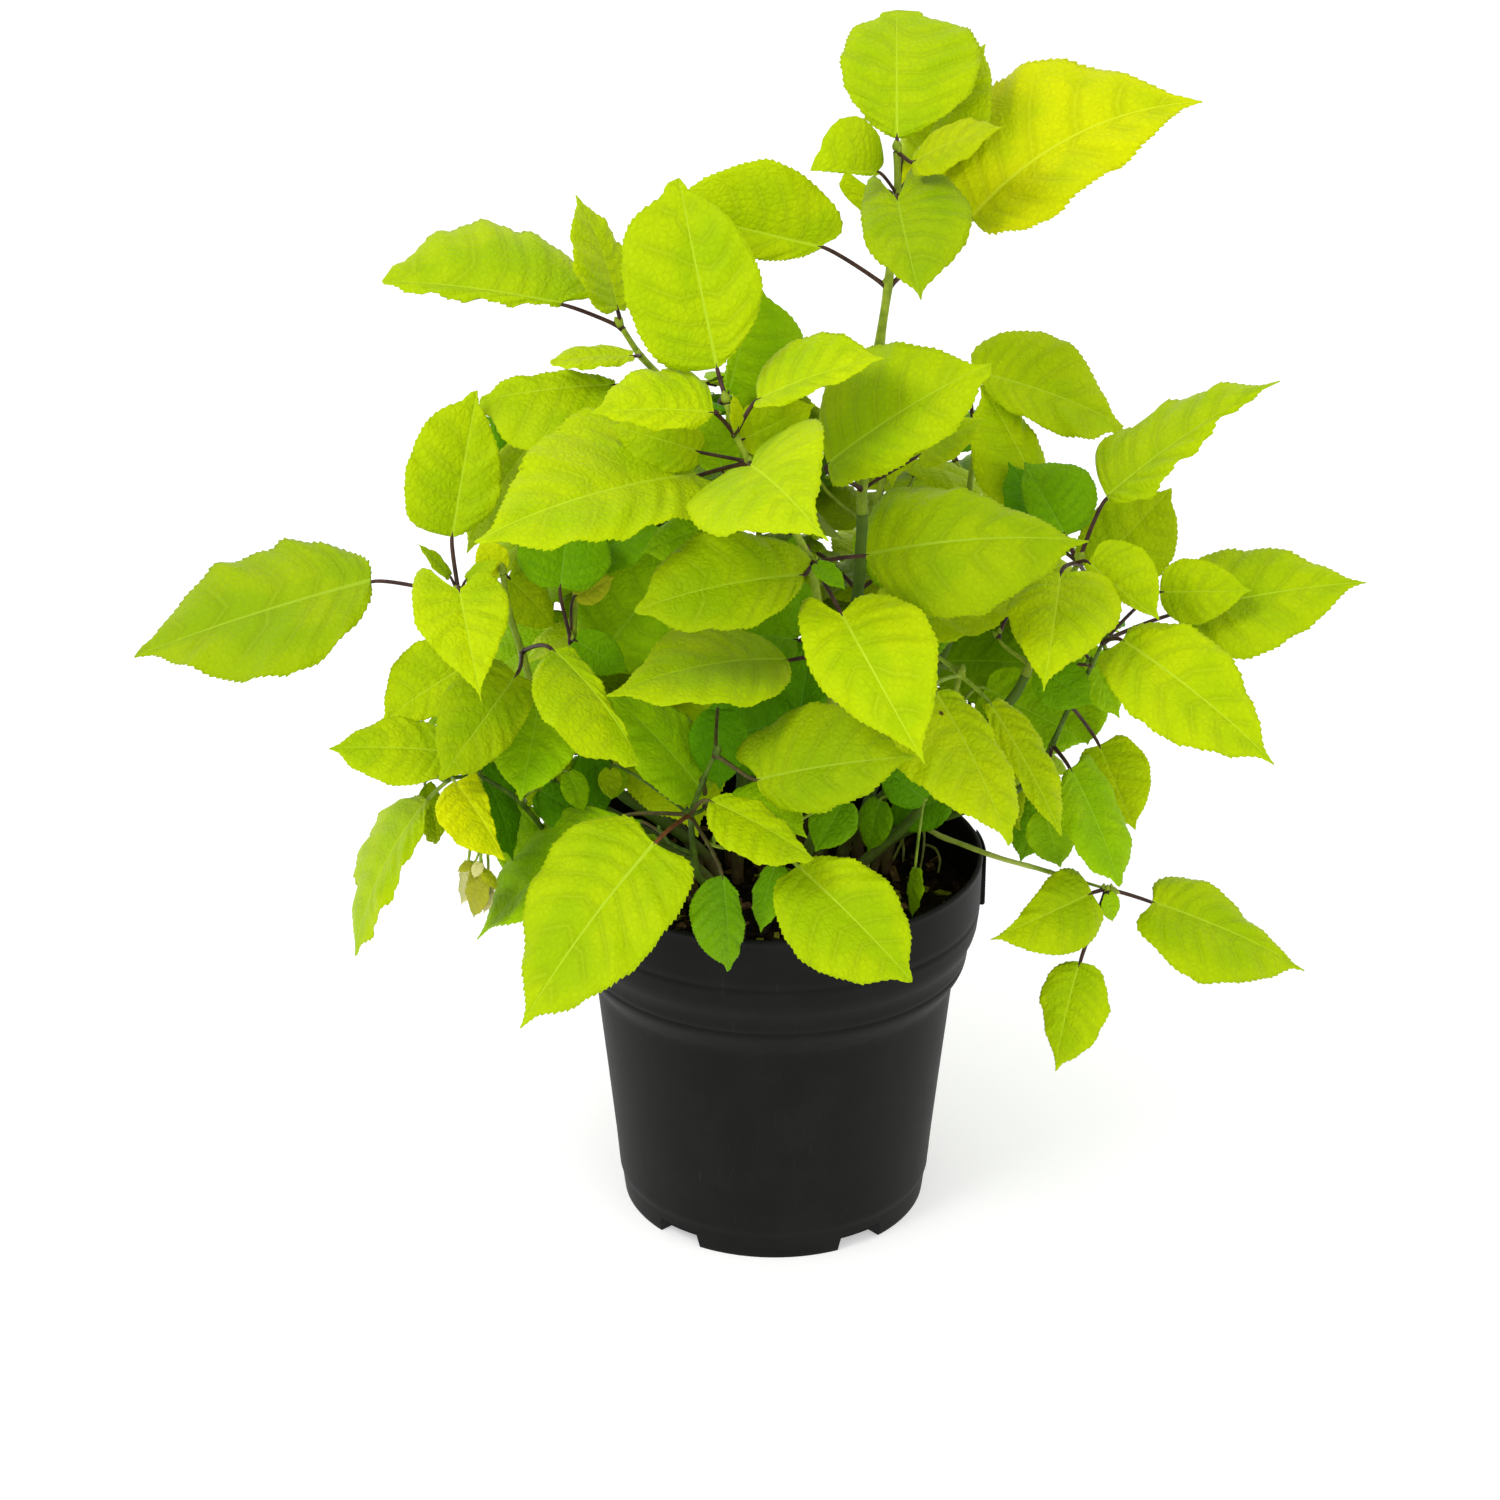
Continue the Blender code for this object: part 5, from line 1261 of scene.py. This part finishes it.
def shoot_pieces(name, plan):
    """The leaves of a shoot as one piece, and its stem, petioles and buds as another."""
    rng = np.random.default_rng(sum(map(ord, name)))
    tones = sorted({tone for _, _, tone, _ in plan["leaves"]})
    leaves, stalks = Skin(), Skin()
    for blade, node, tone, joint in plan["leaves"]:
        drawn = DRAWN.get(joint, Drawn())
        blade = drawn_blade(blade, drawn)
        points, faces, marks, offsets, flats = leaf_skin(blade, drawn, rng)
        leaves.add(points, faces, marks, 3 * tones.index(tone) + offsets, flats)
        stalks.add(*petiole_skin(node, blade), ODD_PETIOLES.get(joint, 1))
        stalks.add(*bud_skin(node + unit(blade.joint - node) * BUD_OUT, UP, BUD_LENGTH), 0)
    stem = plan["stem"]
    spans = [np.linspace(low, high, STEM_FINENESS, endpoint=False) for low, high in zip(stem[:-1], stem[1:])]
    fine = softened(np.vstack((*spans, stem[-1:])), 2)
    place = np.arange(len(fine))
    widths = np.interp(place / STEM_FINENESS, np.arange(len(stem)),
                       np.linspace(STEM_RADIUS, STEM_TIP_RADIUS, len(stem)))
    from_node = np.abs((place + STEM_FINENESS // 2) % STEM_FINENESS - STEM_FINENESS // 2)
    stalks.add(*tube(fine, widths * SLENDER.get(name, 1.0) * STEM_SWELLING[from_node], STEM_SIDES), 0)
    for line in plan["twigs"]:
        stalks.add(*tube(line, np.linspace(*TWIG_WIDTHS, len(line)) * TWIG_RADIUS, TWIG_SIDES), 0)
        stalks.add(*bud_skin(line[-1], unit(line[-1] - line[-2]), BUD_LENGTH), 0)
    stalks.add(*bud_skin(stem[-1], unit(stem[-1] - stem[-2]), TOP_BUD_LENGTH), 0)
    node = f"shoot_{name}"
    finishes = [finish for tone in tones for finish in LEAF_FINISHES[tone]]
    leaves.piece(f"leaves_{name}", finishes, "foliage", node)
    finishes = (STEM_PAINTED_SHADE if name in STEMS_IN_PAINTED_SHADE else STEM_GREEN, STALKS[plan["stalk"]], STALKS["ruddy"])
    used = 1 + max(ODD_PETIOLES.get(joint, 1) for _, _, _, joint in plan["leaves"])
    stalks.piece(f"stalks_{name}", finishes[:used], "foliage", node)


def cane_piece(name, plan):
    """A cane with swollen nodes and long shallow bark ridges."""
    route = plan["cane"]
    rng = np.random.default_rng(sum(map(ord, name)) + 1)
    count, sides = len(route), CANE_SIDES
    along = np.linspace(0.0, 1.0, count)
    swelling = 1 + CANE_SWELLING * np.exp(-((along * CANE_NODES % 1 - 0.5) / 0.09) ** 2)
    radii = np.linspace(CANE_RADIUS, STEM_RADIUS, count) * SLENDER.get(name, 1.0) * swelling
    angle = 2 * pi * np.arange(sides) / sides
    ridges = sum(CANE_RIDGE / k * np.cos(k * 3 * angle[None, :] + rng.uniform(0, 6) + along[:, None] * k * 2)
                 for k in (1, 2))
    rough = CANE_ROUGH * rng.standard_normal((count, sides))
    skin = Skin()
    skin.add(*tube(route, radii, sides, 1 + ridges + rough))
    finish = PALE_BARK if name == "low_sprig" else CANE_BARK
    skin.piece(f"bark_{name}", (finish,), "cane_wood", f"cane_{name}")


# The pot's outside from its foot to its rim: height, then radius there. POT_STEPS holds how far apart its
# points are at most, for underside, outside, inside and floor.
POT_LINE = np.array((
    (0.0, 0.0834), (0.0006, 0.0838), (0.007, 0.0846), (0.0150, 0.0856), (0.0165, 0.0864),
    (0.039, 0.0883), (0.081, 0.0925), (0.106, 0.0951), (0.1310, 0.0976), (0.1345, 0.0984),
    (0.1385, 0.1007), (0.1425, 0.1033), (0.1450, 0.1044), (0.1474, 0.1050), (0.1480, 0.1047),
    (0.1487, 0.1047), (0.1493, 0.1053), (0.1540, 0.1058), (0.1580, 0.1069), (0.1625, 0.1091),
    (0.1665, 0.1102), (0.1755, 0.1112), (0.1764, 0.1108), (0.1776, 0.1108), (0.1788, 0.1114),
    (0.2035, 0.1118), (0.2045, 0.1122),
))
LIP_RADIUS = 0.0012
LIP_POINTS = 9
POT_STEPS = (0.004, 0.003, 0.004, 0.01)
FLOOR_UNDERSIDE = 0.008
FLOOR_THICKNESS = 0.0025
FOOT_RING_WIDTH = 0.008
PAD_RADIUS = 0.025
POT_SIDES = 216
NOTCH_COUNT = 5
NOTCH_EDGE = 0.0007
NOTCH_WIDTH = 0.026
NOTCH_HEIGHT = 0.0078
NOTCH_FIRST_DEG = -128.4
POCKET_COLUMNS = 13
POCKET_WIDTH = 0.030
POCKET_HEIGHT = 0.031
POCKET_PROUD = 0.002
POCKET_DEG = 5.0
POCKET_DROP = 0.001


def spread_out(corners, step):
    """A line through corners, with points put in so that none is further than step from the next."""
    runs = [np.linspace(start, end, 1 + int(np.linalg.norm(end - start) / step), endpoint=False)
            for start, end in zip(corners[:-1], corners[1:])]
    return np.vstack((*runs, corners[-1:]))


def pot_radius(height):
    """The pot's outer radius at a height."""
    return np.interp(height, *POT_LINE.T)


def pot_piece():
    """The pot: one wall turned round Z, with drainage notches raised into its foot ring, and a label pocket.

    The line runs from the underside's middle out over pad, floor and foot ring, up the outside, over the
    rounded lip and down the inside. In a notch, what is lower than the notch's top is lifted to it."""
    arc = np.linspace(0.0, pi, LIP_POINTS)
    lip = np.column_stack((POT_HEIGHT - LIP_RADIUS + LIP_RADIUS * np.sin(arc),
                           RIM_RADIUS - LIP_RADIUS + LIP_RADIUS * np.cos(arc)))
    floor = FLOOR_UNDERSIDE + FLOOR_THICKNESS
    inside = POT_LINE[POT_LINE[:, 0] > floor + 0.002][::-1] - np.array((0.0, POT_WALL))
    ring_inside = BASE_RADIUS - FOOT_RING_WIDTH
    under = np.array(((0.0, 0.002), (0.0, PAD_RADIUS), (FLOOR_UNDERSIDE, PAD_RADIUS + 0.0005),
                      (FLOOR_UNDERSIDE, ring_inside - 0.0005), (0.0, ring_inside)))
    end = np.array(((floor, pot_radius(floor) - POT_WALL - 0.002), (floor, 0.002)))
    parts = zip((under, POT_LINE, inside, end), POT_STEPS)
    under, outside, inside, end = (spread_out(part, step) for part, step in parts)
    line = np.vstack((under, outside, lip, inside, end))
    notches = radians(NOTCH_FIRST_DEG) + 2 * pi * np.arange(NOTCH_COUNT) / NOTCH_COUNT
    half = NOTCH_WIDTH / 2
    edges = [notches + side * (half + slip) / BASE_RADIUS
             for side in (1, -1) for slip in (NOTCH_EDGE, -NOTCH_EDGE)]
    even = 2 * pi * np.arange(POT_SIDES) / POT_SIDES
    angles = np.unique(np.round(np.concatenate((even, *edges)) % (2 * pi), 5))
    away = np.abs((angles[:, None] - notches + pi) % (2 * pi) - pi).min(axis=1) * BASE_RADIUS
    cut = NOTCH_HEIGHT * np.clip((half - away) / (2 * NOTCH_EDGE) + 0.5, 0.0, 1.0)
    height = np.repeat(line[:, :1], len(angles), axis=1)
    radius = np.repeat(line[:, 1:], len(angles), axis=1)
    on_ring = (line[:, 1] >= ring_inside - 0.0006) & (line[:, 0] <= FLOOR_UNDERSIDE)
    height[on_ring] = np.maximum(height[on_ring], cut)
    outer = on_ring & (line[:, 1] > BASE_RADIUS - 0.001)
    radius[outer] = pot_radius(height[outer])
    skin = Skin()
    skin.add(*turned(radius, height, angles))
    skin.add(*pocket_skin())
    skin.piece("nursery_pot", (pot_finish(),), "pot_plastic", "pot")


def pocket_skin():
    """The label pocket: a closed slab bent round the collar, with a slot let into its top."""
    angles = radians(POCKET_DEG) + np.linspace(-1, 1, POCKET_COLUMNS) * POCKET_WIDTH / 2 / RIM_RADIUS
    top = POT_HEIGHT - POCKET_DROP
    low = top - POCKET_HEIGHT
    proud = RIM_RADIUS + POCKET_PROUD
    loop = np.array((
        (low, pot_radius(low) - 0.0008), (low, proud - 0.0008), (low + 0.001, proud), (top - 0.0004, proud),
        (top, proud - 0.0004), (top, proud - 0.0008), (top - 0.012, proud - 0.0009),
        (top - 0.012, proud - 0.0016), (top, proud - 0.0017), (top, RIM_RADIUS - 0.001),
    ))
    height, radius = loop[:, 0][None, :], loop[:, 1][None, :]
    x, y = radius * np.cos(angles)[:, None], radius * np.sin(angles)[:, None]
    grid = np.stack(np.broadcast_arrays(x, y, height), axis=-1)
    ends = np.array((grid[0].mean(axis=0), grid[-1].mean(axis=0)))
    faces = np.vstack((grid_faces(*grid.shape[:2], closed=True), fans(*grid.shape[:2])))[:, ::-1]
    faces = np.where(faces[:, :1] == faces[:, 1:2], np.roll(faces, -1, axis=1)[:, [0, 1, 2, 2]], faces)
    points = np.vstack((grid.reshape(-1, 3), ends))
    return points, faces, np.zeros((len(points), 3)), 0, True


# Soil: bumps as (waves a metre, height), chips of bark with the ends of their half sizes, the stump, and
# loops of root as (px, py, height over the soil)
SOIL_BUMPS = ((28.0, 0.0022), (61.0, 0.0014), (140.0, 0.0008), (290.0, 0.0005))
SOIL_SEED = 5
SOIL_SIDES = 180
SOIL_RINGS = 60
SOIL_LOW = 0.150
SOIL_CLEAR = 0.0004
CHIP_SEED = 8
CHIP_COUNT = 620
CHIP_SIZES = ((0.0020, 0.0065), (0.0010, 0.0028), (0.0004, 0.0012))
CHIP_CORNERS = (0.7, 1.2)
CHIP_BEND = 0.25
CHIP_LIFT = 0.6
CHIP_LEAN = 0.35
CHIP_CLEAR = 0.005
BRICK_FACES = np.array(((3, 2, 1, 0), (4, 5, 6, 7), (0, 1, 5, 4), (1, 2, 6, 5), (2, 3, 7, 6), (3, 0, 4, 7)))
CHIP_FINISHES = (
    ("chip_dark", (0.006, 0.004, 0.003), (0.022, 0.013, 0.008)),
    ("chip_brown", (0.020, 0.009, 0.005), (0.065, 0.030, 0.014)),
    ("chip_tan", (0.10, 0.050, 0.020), (0.28, 0.16, 0.070)),
    ("chip_olive", (0.16, 0.17, 0.010), (0.40, 0.38, 0.030)),
)
CHIP_SHARES = (0.46, 0.30, 0.15, 0.09)
STUMP_SEED = 21
STUMP_SIDES = 48
STUMP_RINGS = 22
STUMP_KNOB = 0.07
ROOT_RADII = (0.0009, 0.0006)
ROOT_SIDES = 7
ROOT_FINENESS = 6
ROOT_ROUNDS = 6
ROOT_LOOPS = (
    ((892, 812, 0.012), (904, 806, 0.020), (920, 814, 0.026), (925, 834, 0.022), (923, 856, 0.012),
     (917, 884, 0.002)),
    ((926, 845, 0.006), (936, 848, 0.009), (941, 860, 0.006), (938, 873, 0.001)),
    ((906, 832, 0.010), (897, 852, 0.007), (887, 872, 0.001)),
    ((902, 838, 0.008), (904, 850, 0.007), (903, 862, 0.001)),
    ((700, 868, 0.010), (690, 885, 0.008), (676, 905, 0.001)),
)


def on_level(px, py, height):
    """The point at that height that shows at pixel px, py."""
    first = seen(px, py, 0.0)
    ray = first - EYE
    return EYE + ray * (height - EYE[2]) / ray[2]


def soil_height(x, y):
    """The soil's surface: its level plus four sizes of bumps, each the product of two crossed waves."""
    rng = np.random.default_rng(SOIL_SEED)
    height = SOIL_TOP - 0.001 + 0 * x
    for waves, size in SOIL_BUMPS:
        turn, shift, other = rng.uniform(0.0, 2 * pi, 3)
        first = np.sin(2 * pi * waves * (x * cos(turn) + y * sin(turn)) + shift)
        second = np.sin(2 * pi * waves * (y * cos(turn) - x * sin(turn)) * 0.83 + other)
        height = height + size * first * second
    return height


def soil_piece():
    """The soil: a bumpy round top that meets the pot's wall, on a closed plug."""
    angles = 2 * pi * np.arange(SOIL_SIDES) / SOIL_SIDES
    inner = pot_radius(SOIL_TOP) - POT_WALL - SOIL_CLEAR
    rings = np.linspace(0.001, 1.0, SOIL_RINGS)[::-1] * inner
    x, y = rings[:, None] * np.cos(angles), rings[:, None] * np.sin(angles)
    top = soil_height(x, y)
    low_radius = pot_radius(SOIL_LOW) - POT_WALL - SOIL_CLEAR
    radius = np.vstack((np.full((1, SOIL_SIDES), SOIL_EYE), np.full((1, SOIL_SIDES), low_radius),
                        np.broadcast_to(rings[:, None], top.shape)))
    height = np.vstack((np.full((2, SOIL_SIDES), SOIL_LOW), top))
    skin = Skin()
    skin.add(*turned(radius, height, angles))
    finish = crumb_finish("soil_dark", (0.0035, 0.0022, 0.0016), (0.020, 0.011, 0.006), 260.0)
    skin.piece("potting_soil", (finish,), "soil", "soil")


def turning(angles, first, second):
    """Turns by angles that carry the first axis towards the second, as 3 x 3 x count."""
    turns = np.repeat(np.eye(3)[..., None], len(angles), axis=-1)
    turns[first, first] = turns[second, second] = np.cos(angles)
    turns[second, first] = np.sin(angles)
    turns[first, second] = -np.sin(angles)
    return turns


def chips_piece():
    """Bark chips on the soil: bent bricks of eight corners, laid nearly flat, in four tones."""
    rng = np.random.default_rng(CHIP_SEED)
    count = CHIP_COUNT
    reach = (pot_radius(SOIL_TOP) - POT_WALL - CHIP_CLEAR) * np.sqrt(rng.uniform(0.0, 1.0, count))
    bearing = rng.uniform(0.0, 2 * pi, count)
    x, y = reach * np.cos(bearing), reach * np.sin(bearing)
    size = np.column_stack([rng.uniform(*ends, count) for ends in CHIP_SIZES])
    box = np.array([(i, j, k) for k in (-1, 1) for j, i in ((-1, -1), (-1, 1), (1, 1), (1, -1))], float)
    corners = box * size[:, None] * rng.uniform(*CHIP_CORNERS, (count, 8, 3))
    corners[..., 2] += CHIP_BEND * size[:, 2:] * (corners[..., 0] / size[:, :1]) ** 2
    turn = rng.uniform(0, 2 * pi, count)
    tilt, roll = rng.normal(0, CHIP_LEAN, count), rng.normal(0, CHIP_LEAN, count)
    spin = np.einsum("abn,bcn,cdn->nad", turning(turn, 0, 1), turning(tilt, 2, 0), turning(roll, 1, 2))
    middle = np.column_stack((x, y, soil_height(x, y) + size[:, 2] * CHIP_LIFT))
    points = np.einsum("nad,ncd->nca", spin, corners) + middle[:, None]
    faces = (BRICK_FACES + 8 * np.arange(count)[:, None, None]).reshape(-1, 4)
    tones = rng.choice(len(CHIP_SHARES), count, p=CHIP_SHARES)
    skin = Skin()
    skin.add(points.reshape(-1, 3), faces, np.zeros((8 * count, 3)), np.repeat(tones, 6), True)
    finishes = [crumb_finish(name, low, high, 420.0) for name, low, high in CHIP_FINISHES]
    skin.piece("bark_chips", finishes, "soil")


def roots_piece():
    """Pale fibrous roots and a fine runner that loop over the soil, each a thin tube on a smooth line."""
    skin = Skin()
    for loop in ROOT_LOOPS:
        knots = np.array([on_level(px, py, SOIL_TOP + rise) for px, py, rise in loop])
        count = ROOT_FINENESS * (len(knots) - 1) + 1
        line = np.stack([np.interp(np.linspace(0, len(knots) - 1, count), range(len(knots)), column)
                         for column in knots.T], axis=-1)
        skin.add(*tube(softened(line, ROOT_ROUNDS), np.linspace(*ROOT_RADII, count), ROOT_SIDES))
    skin.piece("root_loops", (stalk_finish("root_pale", (0.22, 0.24, 0.05), (0.42, 0.42, 0.14)),), "soil")


def stump_piece():
    """The low woody crown: a mound turned round Z, knobbly by waves round it and up it."""
    rng = np.random.default_rng(STUMP_SEED)
    low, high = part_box("woody_crown")
    angles = 2 * pi * np.arange(STUMP_SIDES) / STUMP_SIDES
    rise = np.concatenate(((0.0,), np.linspace(0.0, 1.0, STUMP_RINGS)))
    reach = np.concatenate(((0.02,), np.linspace(1.0, 0.0, STUMP_RINGS) ** 0.35 * 0.98 + 0.02))
    knobs = sum(STUMP_KNOB / k * np.cos(k * 2 * angles[None, :] + rng.uniform(0, 6) + 5 * rise[:, None])
                for k in (1, 2, 3))
    radius = reach[:, None] * (high[0] - 0.0012) * (1 + knobs) * 0.9
    height = low[2] + (high[2] - low[2]) * rise
    skin = Skin()
    skin.add(*turned(radius, np.repeat(height[:, None], STUMP_SIDES, axis=1), angles))
    skin.piece("old_wood", (CANE_BARK,), "cane_wood", "woody_crown")


# The studio: the floor's reach and glow, what the lamps look at, and each lamp's place, size and power
FLOOR_REACH = 60.0
FLOOR_GLOW = 0.42
LAMP_AIM = (0.0, 0.0, 0.3)
LAMPS = {"key": ((-1.4, -1.3, 2.1), 0.9, 28.0), "fill": ((1.6, -1.2, 1.4), 1.6, 5.0)}


def viewer():
    """The viewer's camera, at the picture's angle."""
    lens = bpy.data.cameras.new("viewer")
    lens.sensor_width = SENSOR_MM
    lens.lens = FOCAL_PX / PICTURE_PX * SENSOR_MM
    made = placed("viewer", lens)
    made.location = EYE
    made.rotation_euler = (pi / 2 - PITCH, 0.0, 0.0)
    bpy.context.scene.camera = made


def softbox(name, where, size, power):
    """A square area light that looks at the plant."""
    lamp = bpy.data.lights.new(name, "AREA")
    lamp.size = size
    lamp.energy = power
    made = placed(name, lamp)
    made.location = where
    made.rotation_euler = (Vector(LAMP_AIM) - Vector(where)).to_track_quat("-Z", "Y").to_euler()


def studio():
    """A wide white floor that glows a little, a bright even sky and two soft lamps."""
    mesh = bpy.data.meshes.new("floor")
    corners = [(FLOOR_REACH * x, FLOOR_REACH * y, 0) for x, y in ((-1, -1), (1, -1), (1, 1), (-1, 1))]
    mesh.from_pydata(corners, [], [(0, 1, 2, 3)])
    white = Finish("floor_white")
    white.feed(white.shader, {
        "Base Color": white.mix(white.mottle(3.0), (0.71, 0.71, 0.71), (0.74, 0.74, 0.74)),
        "Emission Color": (1.0, 1.0, 1.0), "Emission Strength": FLOOR_GLOW, "Roughness": 0.9,
        "Specular IOR Level": 0.1,
    })
    mesh.materials.append(white.made)
    placed("floor", mesh)
    world = bpy.data.worlds.new("studio")
    world.use_nodes = True
    sky = world.node_tree.nodes["Background"]
    sky.inputs["Color"].default_value = (1.0, 1.0, 1.0, 1.0)
    sky.inputs["Strength"].default_value = 1.0
    bpy.context.scene.world = world
    for name, values in LAMPS.items():
        softbox(name, *values)
    bpy.context.scene.view_settings.view_transform = "Standard"


viewer()
studio()
pot_piece()
soil_piece()
chips_piece()
roots_piece()
stump_piece()
plant = plan_plant()
for shoot_name, shoot_plan in plant.items():
    shoot_pieces(shoot_name, shoot_plan)
    cane_piece(shoot_name, shoot_plan)
